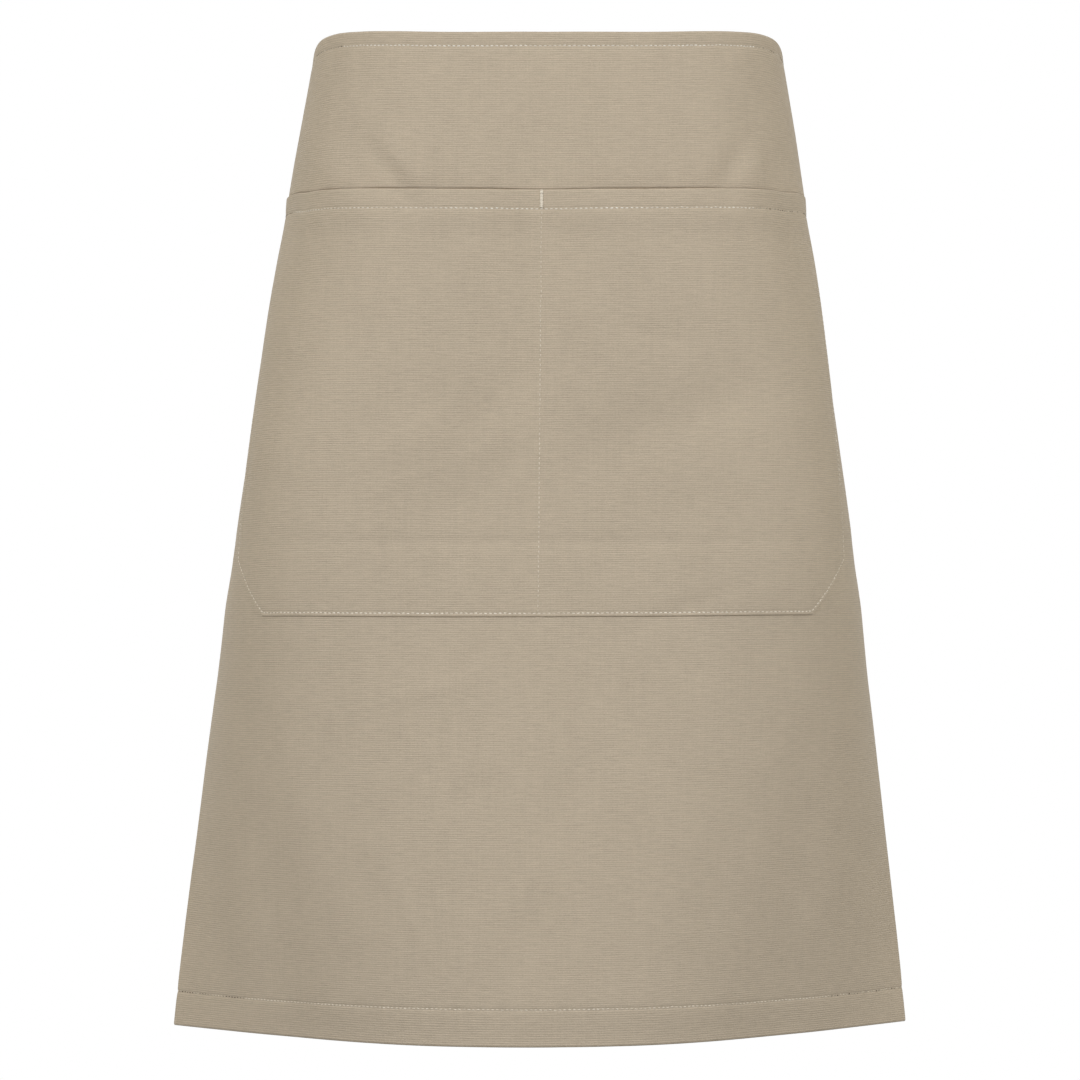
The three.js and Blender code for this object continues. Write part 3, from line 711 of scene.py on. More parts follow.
def build_pocket():
    """The pocket's cloth and the hem folded behind its mouth."""
    acrosses = lines(
        rounded_ends(*pocket_ends(0), POCKET_ROUND, 4) + pocket_ends(CORNER_WIDTH), POCKET_STEP,
        fine=[POCKET_OFFSET] + pocket_ends(POCKET_STITCH) + pocket_ends(POCKET_FOLD), fine_reach=2.1,
    )
    tops = rounded_stops(POCKET_DROP, 1, MOUTH_ROUND)
    bottoms = rounded_stops(POCKET_BOTTOM, -1, POCKET_ROUND, 4)
    downs = lines(
        tops + bottoms + [CORNER_START, POCKET_DROP + LIP, POCKET_DROP + LIP + LIP_GAP / 2], POCKET_STEP,
        fine=(POCKET_DROP + MOUTH_STITCH, POCKET_BOTTOM - POCKET_STITCH), fine_reach=2.1,
    )
    across, row = np.meshgrid(acrosses, downs)
    corner_reach = np.clip(to_pocket_side(across) / CORNER_WIDTH, CORNER_CLOSEST, 1)
    down = np.minimum(row, CORNER_START) + np.maximum(row - CORNER_START, 0) * corner_reach
    edge = pocket_edge_distance(across, down)
    top = down - POCKET_DROP
    outer = pocket_outer(across, down)
    stand_off = pocket_stand_off(across, down)
    thin = end_thin(across, down)
    lip = MOUTH_CLOTH * thin * smooth(edge, 0, MOUTH_HEM_INSET)
    rounded = stand_off - lip + bulge(top, MOUTH_ROUND * thin) * np.sign(lip)
    inner = np.minimum(np.where(top <= LIP + 1e-6, rounded, stand_off), outer - POCKET_THINNEST)
    pocket = cloth_wall("pocket_cloth", across, down, outer, inner, grain=(0.9, 0.31))

    hem_across = lines(
        pocket_ends(MOUTH_HEM_INSET), POCKET_STEP, fine=(POCKET_OFFSET,), fine_reach=2.1)
    hem_bottom = POCKET_DROP + MOUTH_HEM
    hem_rows = lines(
        [POCKET_DROP + LIP + LIP_GAP, hem_bottom] + rounded_stops(hem_bottom, -1, MOUTH_FOLD_ROUND, 4),
        MOUTH_STEP, fine=(POCKET_DROP + MOUTH_STITCH,), fine_step=0.6, fine_reach=1.2,
    )
    across, down = np.meshgrid(hem_across, hem_rows)
    stand_off = pocket_stand_off(across, down)
    free = bulge(hem_bottom - down, MOUTH_FOLD_ROUND)
    front = stand_off - MOUTH_FOLD_GAP - free
    back = stand_off - MOUTH_CLOTH * end_thin(across, down) + free
    back = np.minimum(back + groove(down - POCKET_DROP - MOUTH_STITCH, FOLD_GROOVE), front - THINNEST)
    return pocket, cloth_wall("pocket_mouth_fold", across, down, front, back, grain=(2.3, 1.1))


# Ties, knot and tails

BAND_SIDES = 32
# Pleats run along a band where it is gathered narrow, and none where it is wide
PLEAT_DEPTH = 0.35
PLEAT_FADES = (15, 24)
PLEAT_TURNS = 7.5
PLEAT_START = 0.4
# Sections of a band: flat, gathered at the knot, and in the knot's own turns
FLAT_SQUARE = 9
GATHER_SQUARE = 3
GATHER_CLOTH = 4.6
TIE_GATHER = 10
TAIL_GATHER = 8
STRAND_WIDTH = 8.2
STRAND_SQUARE = 2.8


def step_lengths(points):
    return np.linalg.norm(np.diff(points, axis=0), axis=1)


def lengths_along(points):
    """How far each point lies from the first, along the line through them."""
    return np.concatenate([[0], np.cumsum(step_lengths(points))])


def blend(start, end, share):
    return start + (end - start) * share


def band(name, centres, widths, outs, width, thick, square, grain=(0, 0)):
    """A closed band along centres. widths and outs are its directions across and outwards, width and
    thick its size at each centre, and square how flat its section is there."""
    angle = np.linspace(0, 2 * math.pi, BAND_SIDES, endpoint=False)
    cos, sin = np.cos(angle), np.sin(angle)
    points, uvs = [], []
    along = lengths_along(centres)
    for index, centre in enumerate(centres):
        power = 2 / square[index]
        w = np.sign(cos) * np.abs(cos) ** power
        t = np.sign(sin) * np.abs(sin) ** power
        depth = PLEAT_DEPTH * (1 - smooth(width[index], *PLEAT_FADES))
        pleat = depth * np.cos(w * PLEAT_TURNS + PLEAT_START) * np.sign(sin)
        side = w[:, None] * widths[index] * width[index] / 2
        out = (t * thick[index] / 2 + pleat * np.abs(sin))[:, None] * outs[index]
        points.append(centre + side + out)
        around = np.where(sin >= 0, w * width[index] / 2, width[index] - w * width[index] / 2)
        uvs.append(np.stack([np.full(BAND_SIDES, along[index]) + grain[0], around + grain[1]], axis=1))
    faces = tube_faces(len(centres), BAND_SIDES)
    if np.linalg.det(np.stack([widths[0], outs[0], centres[1] - centres[0]])) < 0:
        faces = [face[::-1] for face in faces]
    return make_object(name, np.concatenate(points), faces, np.concatenate(uvs), sharp=60)


def unit(vectors):
    return vectors / np.linalg.norm(vectors, axis=-1, keepdims=True)


TIE_OUTER = -(CLOTH + SEAM_GAP) - HEM_CLOTH - SEAM_GAP


def bezier(points, shares):
    p = [np.asarray(point, float) for point in points]
    t = np.asarray(shares)[:, None]
    r = 1 - t
    return r ** 3 * p[0] + 3 * r * r * t * p[1] + 3 * r * t * t * p[2] + t ** 3 * p[3]


def knot_box():
    low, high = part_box("tie_knot")
    low, high = np.array(low) / MM, np.array(high) / MM
    return (low + high) / 2, high - low


KNOT_CENTRE, KNOT_SIZE = knot_box()


SEWN_CENTRES = 12
TIE_CENTRES = 60
TAIL_CENTRES = 70
TIE_SAG = 1.5
KNOT_BITE = 1.5


def tie_path(side):
    """Centres, width directions, outward directions, widths, thicknesses and squareness of a tie."""
    middle = TIE_DROP + TIE_WIDTH / 2
    depth = TIE_OUTER - TIE_CLOTH / 2
    sewn = side * np.linspace(HALF_WIDTH - TIE_SEWN, HALF_WIDTH, SEWN_CENTRES)
    centres = on_panel(sewn, middle, depth)
    widths = unit(on_panel(sewn, middle + 5, depth) - on_panel(sewn, middle - 5, depth))
    outs = unit(on_panel(sewn, middle, depth + 1) - centres)
    edge = centres[-1]
    heading = edge - centres[-2]
    heading[2] = 0
    heading = heading / np.linalg.norm(heading)
    end = np.array([side * (KNOT_SIZE[0] / 2 - KNOT_BITE), WAIST_BACK, KNOT_CENTRE[2]])
    pull = np.linalg.norm(edge - end) / 3
    route = [edge, edge + heading * pull, end + np.array([side * pull, 0, 0]), end]
    shares = np.linspace(0, 1, TIE_CENTRES)[1:]
    free = bezier(route, shares)
    ahead = bezier(route, np.minimum(shares + 0.01, 1)) - bezier(route, shares - 0.01)
    ahead[:, 2] = 0
    ahead = unit(ahead)
    turned = smooth(shares, 0, 0.5)[:, None]
    hang = unit(widths[-1] * (1 - turned) + np.array([0, 0, -1.0]) * turned)
    outward = np.stack([side * ahead[:, 1], -side * ahead[:, 0], np.zeros(len(shares))], axis=1)
    free[:, 2] -= TIE_SAG * np.sin(math.pi * shares) ** 2
    gather = smooth(shares, 0.55, 1)
    section = [
        np.concatenate([np.full(SEWN_CENTRES, float(flat)), blend(flat, gathered, gather)])
        for flat, gathered in (
            (TIE_WIDTH, TIE_GATHER), (TIE_CLOTH, GATHER_CLOTH), (FLAT_SQUARE, GATHER_SQUARE))
    ]
    return (
        np.concatenate([centres, free]), np.concatenate([widths, hang]),
        np.concatenate([outs, outward]), *section,
    )


def tail_path(side):
    """The same of a tail, from the knot down."""
    top = KNOT_CENTRE + np.array([side * KNOT_SIZE[0] / 4, 0, -KNOT_SIZE[2] / 2 + 2])
    route = [
        top,
        top + np.array([side * TAIL_SPREAD * 0.3, 4, -TAIL_LENGTH * 0.3]),
        top + np.array([side * TAIL_SPREAD * 1.1, 0, -TAIL_LENGTH * 0.65]),
        top + np.array([side * TAIL_SPREAD, -4, -TAIL_LENGTH - 2]),
    ]
    shares = np.linspace(0, 1, TAIL_CENTRES)
    centres = bezier(route, shares)
    wave = smooth(shares, 0.05, 0.4)
    centres[:, 0] += side * 1.6 * np.sin(shares * 7.0 + side) * wave
    centres[:, 1] += 2.2 * np.sin(shares * 9.0 + 1.1 * side) * wave
    ahead = unit(np.gradient(centres, axis=0))
    twist = np.radians(side * (6 + 14 * np.sin(shares * 4.2 + side)) * wave)
    across = np.stack([np.cos(twist), np.sin(twist), np.zeros(len(shares))], axis=1)
    across = unit(across - (across * ahead).sum(axis=1, keepdims=True) * ahead)
    opened = smooth(shares, 0, 0.25)
    return (
        centres, across, np.cross(ahead, across), blend(TAIL_GATHER, TIE_WIDTH, opened),
        blend(GATHER_CLOTH, TIE_CLOTH, opened), blend(GATHER_SQUARE, FLAT_SQUARE, opened),
    )


# The left strand's way through the knot, in halves of its size from its centre
KNOT_ROUTE = table(
    "along back up",
    (-1.02, 0.1, 0.05), (-0.7, 0.42, 0.22), (-0.3, 0.1, 0.38),
    (0.05, -0.42, 0.48), (0.36, -0.34, 0.62), (0.62, 0.08, 0.56),
    (0.76, 0.44, 0.3), (0.8, 0.52, 0.0), (0.76, 0.44, -0.3),
    (0.62, 0.08, -0.56), (0.36, -0.34, -0.62), (0.05, -0.42, -0.48),
    (-0.26, 0.1, -0.42), (-0.5, 0.3, -0.6), (-0.52, 0.1, -0.98),
)


def knot_strand(name, side):
    """One tie's turn through the knot: it comes in from its own side, goes round the other tie's
    turn, and leaves downwards on its own side."""
    route = np.array([[row["along"], row["back"], row["up"]] for row in KNOT_ROUTE])
    if side > 0:
        route = route * np.array([-1, -1, 1])
    route = KNOT_CENTRE + route * (KNOT_SIZE / 2)
    shares = np.linspace(0, len(route) - 1, 110)
    rows = [{"at": k, "x": p[0], "y": p[1], "z": p[2]} for k, p in enumerate(route)]
    centres = np.stack([along_table(rows, "at", axis, shares) for axis in "xyz"], axis=1)
    ahead = unit(np.gradient(centres, axis=0))
    widths = unit(np.cross(ahead, np.array([0, 1.0, 0])))
    section = (np.full(len(shares), value) for value in (STRAND_WIDTH, GATHER_CLOTH, STRAND_SQUARE))
    return band(name, centres, widths, np.cross(widths, ahead), *section, grain=(3.1 * side, 0.6))


# Stitches

SPINDLE_RINGS = 7
SPINDLE_SIDES = 6


def spindles(name, centres, along, aside, normals, length, width, height):
    """Small raised dashes of thread, all in one mesh."""
    rings = np.linspace(-1, 1, SPINDLE_RINGS)
    swell = np.sqrt(np.clip(1 - np.abs(rings) ** 3, 0, 1)) * 0.85 + 0.15
    template = []
    for place, size in zip(rings, swell):
        lift = height * (0.55 - 0.75 * place ** 4)
        for angle in np.linspace(0, 2 * math.pi, SPINDLE_SIDES, endpoint=False):
            template.append([place * length / 2, math.cos(angle) * width / 2 * size,
                             math.sin(angle) * height / 2 * size + lift - height / 4])
    template = np.array(template)
    points = (
        centres[:, None, :]
        + template[None, :, 0, None] * along[:, None, :]
        + template[None, :, 1, None] * aside[:, None, :]
        + template[None, :, 2, None] * normals[:, None, :]
    ).reshape(-1, 3)
    size = len(template)
    faces = tube_faces(SPINDLE_RINGS, SPINDLE_SIDES)
    offsets = range(0, len(centres) * size, size)
    all_faces = [[corner + offset for corner in face] for offset in offsets for face in faces]
    places = np.stack([centres[:, 0] + centres[:, 1], centres[:, 2]], axis=1)
    uvs = (template[None, :, :2] + places[:, None, :]).reshape(-1, 2)
    return make_object(name, points, all_faces, uvs, sharp=80)


def seam_places(route, start):
    """Stitch places and directions along a route of cloth coordinates."""
    route = np.array(route, float)
    steps = np.diff(route, axis=0)
    lengths = step_lengths(route)
    reach = lengths_along(route)
    count = max(1, int(reach[-1] / STITCH_PITCH))
    at = (np.arange(count) + start) * reach[-1] / count
    leg = np.clip(np.searchsorted(reach, at, side="right") - 1, 0, len(lengths) - 1)
    share = (at - reach[leg]) / lengths[leg]
    return route[leg] + steps[leg] * share[:, None], steps[leg] / lengths[leg][:, None]


def seam_frames(places, ways, face, lift, back=False):
    """Where stitches stand on a face of the cloth, and the directions that they lie in."""
    across, down = places[:, 0], places[:, 1]
    out = face(across, down)
    raised = out - lift if back else out + lift
    centres = on_panel(across, down, raised)
    step = 0.9
    before = on_panel(across - ways[:, 0] * step, down - ways[:, 1] * step, raised)
    after = on_panel(across + ways[:, 0] * step, down + ways[:, 1] * step, raised)
    along = unit(after - before)
    normals = unit(on_panel(across, down, raised + (-1 if back else 1)) - centres)
    aside = unit(np.cross(normals, along))
    return centres, along, aside, normals


rng = np.random.default_rng(20)


def jitter(frames, turn=6, shift=0.1):
    """Hand-fed unevenness: each stitch turned and moved a little."""
    centres, along, aside, normals = frames
    count = len(centres)
    angle = np.radians(rng.normal(0, turn, count))[:, None]
    turned = along * np.cos(angle) + aside * np.sin(angle)
    return centres + aside * rng.normal(0, shift, count)[:, None], turned, np.cross(normals, turned), normals


def join_frames(groups):
    return [np.concatenate([group[k] for group in groups]) for k in range(4)]


# How far from the middle the front's stitches sink in, on the left and on the right. Past it they are
# smaller and lower, and their thread is painted dark, as painted shadow of their needle holes
WAIST_SINKS_FROM = (136, 138)
HEM_SINKS_FROM = (211, 203)
MOUTH_SINKS_FROM = (174, 125)
# How far rows of stitches end before the cloth's edge, and how deep those on the back lie in the hem
ROW_END = 2.2
MOUTH_ROW_END = 3.5
SIDE_ROW_END = 2
POCKET_ROW_START = 1.5
HEM_BACK_SINK = 0.25


def split_row(route, reach):
    """A row of stitches across the front in three parts: left end, middle and right end."""
    (left, down), (right, _) = route
    stops = [(across, down) for across in (left, -reach[0], reach[1], right)]
    return [stops[k:k + 2] for k in range(3)]


def build_stitches():
    """Every row of stitches on panel and pocket, by name, in the order of its random draws."""
    hem_back = lambda across, down: np.full(np.shape(across), -EDGE_THICK + HEM_BACK_SINK)
    panel_back = lambda across, down: np.full(np.shape(across), -CLOTH)
    across_at = lambda left, right, down: [(left, down), (right, down)]
    edge = HALF_WIDTH - ROW_END
    waist = across_at(-edge, edge, WAIST_STITCH)
    bottom = across_at(-edge, edge, PANEL_LENGTH - BOTTOM_STITCH)
    sides = [
        [(place, WAIST_HEM + SIDE_ROW_END), (place, PANEL_LENGTH - BOTTOM_HEM - SIDE_ROW_END)]
        for place in (-HALF_WIDTH + SIDE_STITCH, HALF_WIDTH - SIDE_STITCH)
    ]
    inset = POCKET_STITCH
    slope = math.hypot(CORNER_WIDTH, CORNER_HEIGHT)
    side_end = CORNER_START + inset * (slope - CORNER_WIDTH) / CORNER_HEIGHT - inset * 0.9
    corner_in = CORNER_WIDTH + inset * 0.4
    row_start, row_low = POCKET_DROP + POCKET_ROW_START, POCKET_BOTTOM - inset
    (left, right), (left_in, right_in) = pocket_ends(inset), pocket_ends(corner_in)
    pocket_route = [
        (left, row_start), (left, side_end), (left_in, row_low),
        (right_in, row_low), (right, side_end), (right, row_start),
    ]
    mouth = across_at(*pocket_ends(MOUTH_ROW_END), POCKET_DROP + MOUTH_STITCH)
    divider = [(POCKET_OFFSET, POCKET_DROP + MOUTH_STITCH + 1), (POCKET_OFFSET, row_low)]
    pieces = {}

    def rows(routes, face, back=False, lift=STITCH_LIFT):
        frames = []
        for route in routes:
            places, ways = seam_places(route, 0.0 if back else 0.5)
            frames.append(jitter(seam_frames(places, ways, face, lift, back)))
        return join_frames(frames)

    def sew(name, frames, size=PLAIN_STITCH):
        pieces[name] = spindles(f"{name}_stitches", *frames, *size)

    for name, route, sinks_from in (("waist", waist, WAIST_SINKS_FROM), ("bottom", bottom, HEM_SINKS_FROM)):
        left, middle, right = split_row(route, sinks_from)
        sew(name, join_frames([rows([middle], panel_face), rows([route], hem_back, back=True)]))
        # The row's ends: smaller, lower stitches whose thread is painted dark, as painted shadow of their
        # needle holes
        sew(f"sunk_{name}", rows([left, right], panel_face, lift=SUNK_LIFT), SUNK_STITCH)
    sew("side", rows(sides, hem_back, back=True))
    sew("pocket", join_frames([
        rows([pocket_route], pocket_outer), rows([pocket_route, divider], panel_back, back=True)]))
    sew("divider", rows([divider], pocket_outer, lift=SUNK_LIFT), DIVIDER_STITCH)
    left, middle, right = split_row(mouth, MOUTH_SINKS_FROM)
    sew("mouth", rows([middle], pocket_outer))
    # The mouth row's ends: smaller, lower stitches whose thread is painted dark, as painted shadow of their
    # needle holes
    sew("sunk_mouth", rows([left, right], pocket_outer, lift=SUNK_LIFT), SUNK_STITCH)
    return pieces


TACK_FROM = 0.4
TACK_TO = 10.8
TACK_PITCH = 0.5
TACK_PROUD = 0.15


def build_bar_tack():
    """Close satin stitches across the top of the pocket's middle seam."""
    downs = np.arange(POCKET_DROP + TACK_FROM, POCKET_DROP + TACK_TO, TACK_PITCH)
    places = np.stack([np.full(len(downs), POCKET_OFFSET), downs], axis=1)
    ways = np.tile([1.0, 0.0], (len(downs), 1))
    face = lambda across, down: pocket_outer(across, down) + TACK_PROUD
    frames = jitter(seam_frames(places, ways, face, 0.25), turn=7, shift=0.08)
    return spindles("bar_tack_threads", *frames, *BAR_STITCH)


def band_stitches(path, first, last):
    """Two rows of stitches along both faces of a band, between two of its centres."""
    centres, widths, outs, width, thick, _ = path
    along = lengths_along(centres)
    at = np.arange(along[first] + 1.5, along[last], STITCH_PITCH)
    pick = lambda values: np.stack([np.interp(at, along, values[:, k]) for k in range(3)], axis=1)
    ahead = unit(pick(np.gradient(centres, axis=0)))
    groups = []
    for row in (-1, 1):
        for face in (-1, 1):
            half = np.interp(at, along, width) / 2 - TIE_STITCH
            out = unit(pick(outs)) * face
            place = pick(centres) + unit(pick(widths)) * (row * half)[:, None]
            place = place + out * (np.interp(at, along, thick) / 2)[:, None]
            groups.append(jitter((place, ahead, np.cross(out, ahead), out), turn=4, shift=0.06))
    return join_frames(groups)


# Materials

RIB_PITCH = 1.31
YARN_PITCH = 0.78
# Share of the weave in the cloth's colour: the grooves of ribs and yarns painted darker and their tops
# paler, as painted shade
WEAVE_PAINTED_SHADE = 0.125
# Streaks, mottle and flecks of the canvas: how often they change in a metre across and down, their
# detail and roughness, and their share in the cloth's tone
TONES = table(
    "name across down detail rough share",
    ("streak", 110, 900, 3.0, 0.65, 0.38),
    ("down_streak", 700, 30, 2.0, 0.5, 0.1),
    ("mottle", 28, 28, 4.0, 0.6, 0.12),
    ("fleck", 1100, 1500, 1.0, 0.5, 0.34),
)


def fill(tree, node, inputs):
    """Gives each named input of a node its value, or a link where the value is another's output."""
    for name, value in inputs.items():
        if isinstance(value, bpy.types.NodeSocket):
            tree.links.new(value, node.inputs[name])
        else:
            node.inputs[name].default_value = value
    return node


def add_node(tree, kind, inputs, **settings):
    node = tree.nodes.new("ShaderNode" + kind)
    for name, value in settings.items():
        setattr(node, name, value)
    return fill(tree, node, inputs)


def new_material(name):
    material = bpy.data.materials.new(name)
    material.use_nodes = True
    return material, material.node_tree


def canvas_material(name, colour):
    """Cotton canvas with fine ribs: rib tops painted pale and grooves painted slightly darker, as painted
    shade, with streaky yarns and a soft mottle, laid out in cloth coordinates."""
    material, tree = new_material(name)
    tree.nodes.clear()
    uv = add_node(tree, "UVMap", {}, uv_map="cloth").outputs["UV"]

    def maths(operation, *values):
        return add_node(tree, "Math", dict(enumerate(values)), operation=operation).outputs[0]

    def scaled(*scale):
        return add_node(tree, "Mapping", {"Scale": scale, "Vector": uv}).outputs["Vector"]

    def noise_map(across, down, detail=2.0, rough=0.5):
        place = scaled(across, down, 1)
        inputs = {"Scale": 1.0, "Detail": detail, "Roughness": rough, "Vector": place}
        return add_node(tree, "TexNoise", inputs, noise_dimensions="3D").outputs["Fac"]

    millimetres = add_node(tree, "SeparateXYZ", {0: scaled(1000, 1000, 1000)})
    u, v = millimetres.outputs["X"], millimetres.outputs["Y"]
    waver = maths("MULTIPLY", maths("SUBTRACT", noise_map(60, 260), 0.5), 0.55)
    rib_count = maths("DIVIDE", maths("ADD", v, waver), RIB_PITCH)
    rib = maths("SINE", maths("MULTIPLY", rib_count, 2 * math.pi))
    row = maths("FLOOR", maths("ADD", rib_count, 0.25))
    parity = maths("MULTIPLY", maths("PINGPONG", row, 1.0), 0.5)
    yarn_count = maths("ADD", maths("DIVIDE", u, YARN_PITCH), parity)
    yarn = maths("SINE", maths("MULTIPLY", yarn_count, 2 * math.pi))
    weave = maths("ADD", maths("MULTIPLY", rib, 0.72), maths("MULTIPLY", yarn, 0.28))
    weave = maths("MULTIPLY", weave, maths("MULTIPLY_ADD", noise_map(42, 60), 2.2, -0.1))

    noises = {}
    # Painted shade: the weave darkens the colour in its grooves and lightens it on its tops
    tone = maths("MULTIPLY", weave, WEAVE_PAINTED_SHADE)
    for kind in TONES:
        value = noise_map(kind["across"], kind["down"], kind["detail"], kind["rough"])
        tone = maths("ADD", tone, maths("MULTIPLY", maths("SUBTRACT", value, 0.5), kind["share"]))
        noises[kind["name"]] = value
    tone = maths("ADD", tone, 1.0)
    base = add_node(tree, "VectorMath", {0: colour, "Scale": tone}, operation="SCALE")

    height = maths("ADD", maths("MULTIPLY", weave, 0.5), maths("MULTIPLY", noises["fleck"], 0.5))
    bump = add_node(tree, "Bump", {"Strength": 0.6, "Distance": 0.15 * MM, "Height": height})
    shader = add_node(tree, "BsdfPrincipled", {
        "Base Color": base.outputs["Vector"], "Normal": bump.outputs["Normal"], "Roughness": 0.9,
        "Specular IOR Level": 0.15, "Sheen Weight": 0.12, "Sheen Roughness": 0.6,
    })
    add_node(tree, "OutputMaterial", {"Surface": shader.outputs["BSDF"]})
    return material


def thread_material(name, bright, sunk, uneven=(0.45, 1.15)):
    """Twisted sewing thread. Some stitches lie bright on the cloth and others are sunk into it, where the
    thread is painted in its darker sunk colour as painted shade.
    """
    material, tree = new_material(name)
    uv = add_node(tree, "UVMap", {}, uv_map="cloth").outputs["UV"]

    def varied(scale, low, high):
        spots = add_node(tree, "TexNoise", {"Scale": scale, "Detail": 1.0, "Vector": uv}).outputs["Fac"]
        inputs = {"From Min": 0.32, "From Max": 0.68, "To Min": low, "To Max": high, "Value": spots}
        return add_node(tree, "MapRange", inputs).outputs["Result"]

    shares = {0: varied(16, 0.45, 1.25), 1: varied(420, *uneven)}
    both = add_node(tree, "Math", shares, operation="MULTIPLY", use_clamp=True)
    # The sunk colour is painted shade, put in spots along the thread
    colours = {"A": (*sunk, 1), "B": (*bright, 1), "Factor": both.outputs[0]}
    mixed = add_node(tree, "Mix", colours, data_type="RGBA")
    turned = add_node(tree, "Mapping", {"Rotation": (0, 0, math.radians(35)), "Vector": uv})
    wave = add_node(tree, "TexWave", {
        "Scale": 900, "Distortion": 1.5, "Vector": turned.outputs["Vector"]})
    bump = add_node(tree, "Bump", {
        "Strength": 0.4, "Distance": 0.05 * MM, "Height": wave.outputs["Fac"]})
    fill(tree, tree.nodes["Principled BSDF"], {
        "Base Color": mixed.outputs["Result"], "Normal": bump.outputs["Normal"],
        "Roughness": 0.75, "Specular IOR Level": 0.3,
    })
    return material


CANVAS = (0.482, 0.396, 0.294)
# Thread colours painted darker, as painted shade of thread sunk and half sunk into the cloth
THREAD_SUNK_SHADE = (0.50, 0.42, 0.32)
THREAD_HALF_SUNK_SHADE = (0.74, 0.66, 0.54)
# Nearly black: painted shadow of the needle holes
THREAD_HOLE_SHADOW = (0.12, 0.095, 0.07)
# The thread of each kind of row: its colour on the cloth and its darker colour where it is sunk, which is
# painted shade, and how uneven it is
THREADS = {
    "thread": ((0.90, 0.86, 0.77), THREAD_SUNK_SHADE),
    # Thread dimmed all over, as painted shade of thread lying sunk in the cloth
    "sunk_thread": (THREAD_HALF_SUNK_SHADE, THREAD_SUNK_SHADE),
    "pocket_thread": ((0.86, 0.79, 0.67), THREAD_SUNK_SHADE),
    "tack_thread": ((0.88, 0.80, 0.67), THREAD_HALF_SUNK_SHADE),
    # Thread mostly painted in the dark of its needle holes, as painted shadow
    "hole_shadow_thread": ((0.66, 0.58, 0.46), THREAD_HOLE_SHADOW, (-0.7, 1.9)),
}
# Rows named sunk take the thread painted dark as the shadow of their needle holes; the divider and bottom
# rows take the dimmed thread, painted shade
ROW_THREADS = {
    "divider": "sunk_thread", "bottom": "sunk_thread", "pocket": "pocket_thread", "sunk": "hole_shadow_thread"}


# Assembly

def dress(piece, slot, material, *nodes):
    piece.data.materials.append(material)
    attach(piece, "root")
    if nodes:
        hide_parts(*nodes)
    return piece


SIDES = ((-1, "left"), (1, "right"))
# The bands of each side: kind, the end of its solid's name, path, how it is held, and the two centres
# between which it is stitched
BANDS = (
    ("tie", "tie", tie_path, "stretched", (0, 48)),
    ("tail", "tie_tail", tail_path, "hung", (16, 69)),
)


def assemble():
    panel_canvas, pocket_canvas, tie_canvas = (
        canvas_material(f"{name}_canvas", CANVAS) for name in ("panel", "pocket", "tie"))
    threads = {name: thread_material(name, *look) for name, look in THREADS.items()}

    panel = dress(build_panel(), "panel_canvas", panel_canvas, "front_panel")
    hems = [dress(piece, "hem_canvas", panel_canvas, node) for node, piece in build_hems().items()]
    pocket, mouth = build_pocket()
    dress(pocket, "pocket_canvas", pocket_canvas, "pocket_panel")
    dress(mouth, "hem_canvas", pocket_canvas, "pocket_mouth_hem")
    tack = dress(build_bar_tack(), "thread", threads["tack_thread"], "pocket_bar_tack")
    stitches = build_stitches()
    for name, piece in stitches.items():
        dress(piece, "thread", threads[ROW_THREADS.get(name.split("_")[0], "thread")])

    tie_rows, bands = [], []
    for side, word in SIDES:
        for kind, ending, path_of, held, sewn in BANDS:
            path = path_of(side)
            piece = dress(
                band(f"{word}_{kind}_band", *path), "tie_canvas", tie_canvas, f"{word}_{ending}")
            tie_rows.append(band_stitches(path, *sewn))
            bands.append((word, kind, piece, held, float(step_lengths(path[0]).sum())))
    strands = {word: knot_strand(f"knot_{word}_strand", side) for side, word in SIDES}
    for strand in strands.values():
        dress(strand, "tie_canvas", tie_canvas, "tie_knot")
    tie_thread = dress(
        spindles("tie_stitches", *join_frames(tie_rows), *BAND_STITCH), "thread", threads["thread"])

    rows = lambda *names: [stitches[name] for name in names]
    hems + rows("waist", "sunk_waist", "bottom", "sunk_bottom", "side")
    [mouth, tack] + rows("pocket", "divider", "mouth", "sunk_mouth")
    others = {("left", "tail"): [tie_thread]}
    for word, strand in strands.items():
        others[word, "tie"] = [strand]
    for word, kind, piece, held, length in bands:
        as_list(others.get((word, kind), []))


# Stage: a floor and a room shown white to the camera, the floor painted darker round the middle as painted
# shade, with broad soft lights at the front, sides and back

FLOOR_Z = -700
# In metres: half the floor's side, and where it stops throwing little light back and throws more. Near the
# middle the floor is painted darker, as painted shade, so that less light comes back up onto the apron's
# lower part
FLOOR_HALF = 60
FLOOR_DIM_TO = 0.9
FLOOR_PALE_FROM = 2.2
FLOOR_PAINTED_SHADE = 0.33
FLOOR_PALE = 0.5
ROOM_LIGHT = 0.36
ROOM_TINT = (1.0, 0.88, 0.50)
LAMP_TINT = (0.93, 1.0, 1.15)
LAMP_SPREAD = 35
LAMPS = table(
    "name azimuth height strength",
    ("key_left", -35, 27, 1.39),
    ("key_right", 35, 27, 1.32),
    ("side_left", -90, 5, 0.5),
    ("side_right", 90, 5, 0.49),
    ("back_left", -160, 14, 0.75),
    ("back_right", 160, 14, 0.65),
)


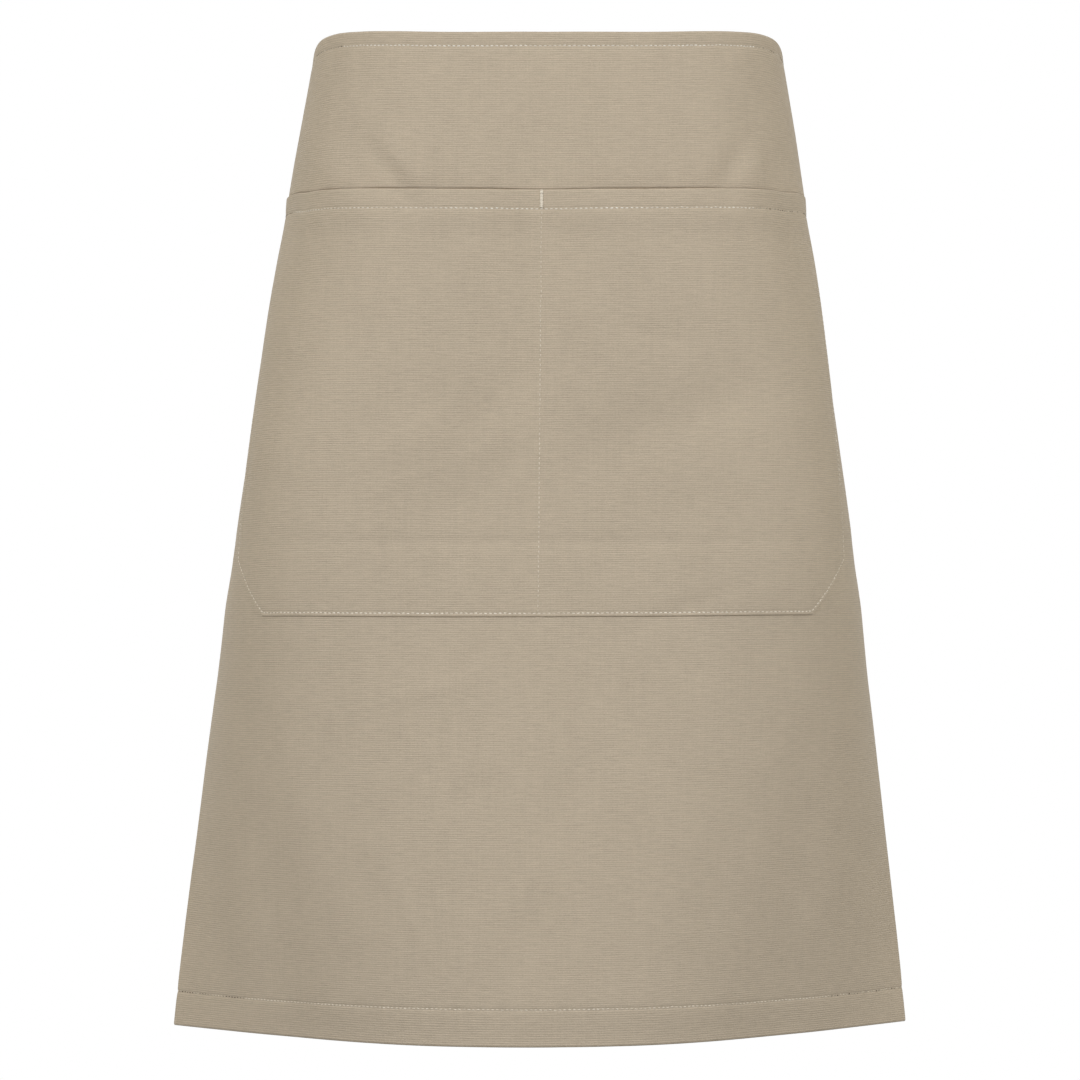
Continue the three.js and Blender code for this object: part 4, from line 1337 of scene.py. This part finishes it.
def add_lamp(lamp):
    data = bpy.data.lights.new(lamp["name"], "SUN")
    data.energy = lamp["strength"]
    data.angle = math.radians(LAMP_SPREAD)
    data.color = LAMP_TINT
    azimuth, height = math.radians(lamp["azimuth"]), math.radians(lamp["height"])
    flat = math.cos(height)
    towards = Vector((math.sin(azimuth) * flat, -math.cos(azimuth) * flat, math.sin(height)))
    light = add_object(lamp["name"], data)
    light.rotation_euler = towards.to_track_quat("Z", "Y").to_euler()


def show_to_camera(tree, lighting, seen, output):
    """White to the camera, while the room gets the softer light."""
    to_camera = add_node(tree, "LightPath", {}).outputs["Is Camera Ray"]
    mix = add_node(tree, "MixShader", {0: to_camera, 1: lighting.outputs[0], 2: seen.outputs[0]})
    fill(tree, tree.nodes[output], {"Surface": mix.outputs[0]})


def build_stage():
    mesh = bpy.data.meshes.new("floor")
    corners = [(-1, -1, 0), (1, -1, 0), (1, 1, 0), (-1, 1, 0)]
    mesh.from_pydata([(x * FLOOR_HALF, y * FLOOR_HALF, z) for x, y, z in corners], [], [[0, 1, 2, 3]])
    floor = add_object("floor", mesh)
    floor.location = (0, 0, FLOOR_Z * MM)
    material, tree = new_material("floor_white")
    place = add_node(tree, "TexCoord", {}).outputs["Object"]
    away = add_node(tree, "VectorMath", {0: place}, operation="LENGTH").outputs["Value"]
    # Painted shade: the floor's colour is darker near the middle, under the apron
    paler = add_node(tree, "MapRange", {
        "Value": away, "From Min": FLOOR_DIM_TO, "From Max": FLOOR_PALE_FROM,
        "To Min": FLOOR_PAINTED_SHADE, "To Max": FLOOR_PALE,
    }, interpolation_type="SMOOTHSTEP")
    shader = fill(tree, tree.nodes["Principled BSDF"], {
        "Base Color": paler.outputs["Result"], "Roughness": 1.0, "Specular IOR Level": 0.0})
    bright = add_node(tree, "Emission", {"Strength": 1.0})
    show_to_camera(tree, shader, bright, "Material Output")
    mesh.materials.append(material)

    world = bpy.data.worlds.new("studio")
    world.use_nodes = True
    tree = world.node_tree
    room = fill(tree, tree.nodes["Background"], {"Color": (*ROOM_TINT, 1), "Strength": ROOM_LIGHT})
    white = add_node(tree, "Background", {"Color": (1, 1, 1, 1), "Strength": 1.0})
    show_to_camera(tree, room, white, "World Output")
    bpy.context.scene.world = world
    bpy.context.scene.view_settings.view_transform = "Standard"
    for lamp in LAMPS:
        add_lamp(lamp)


assemble()
build_stage()
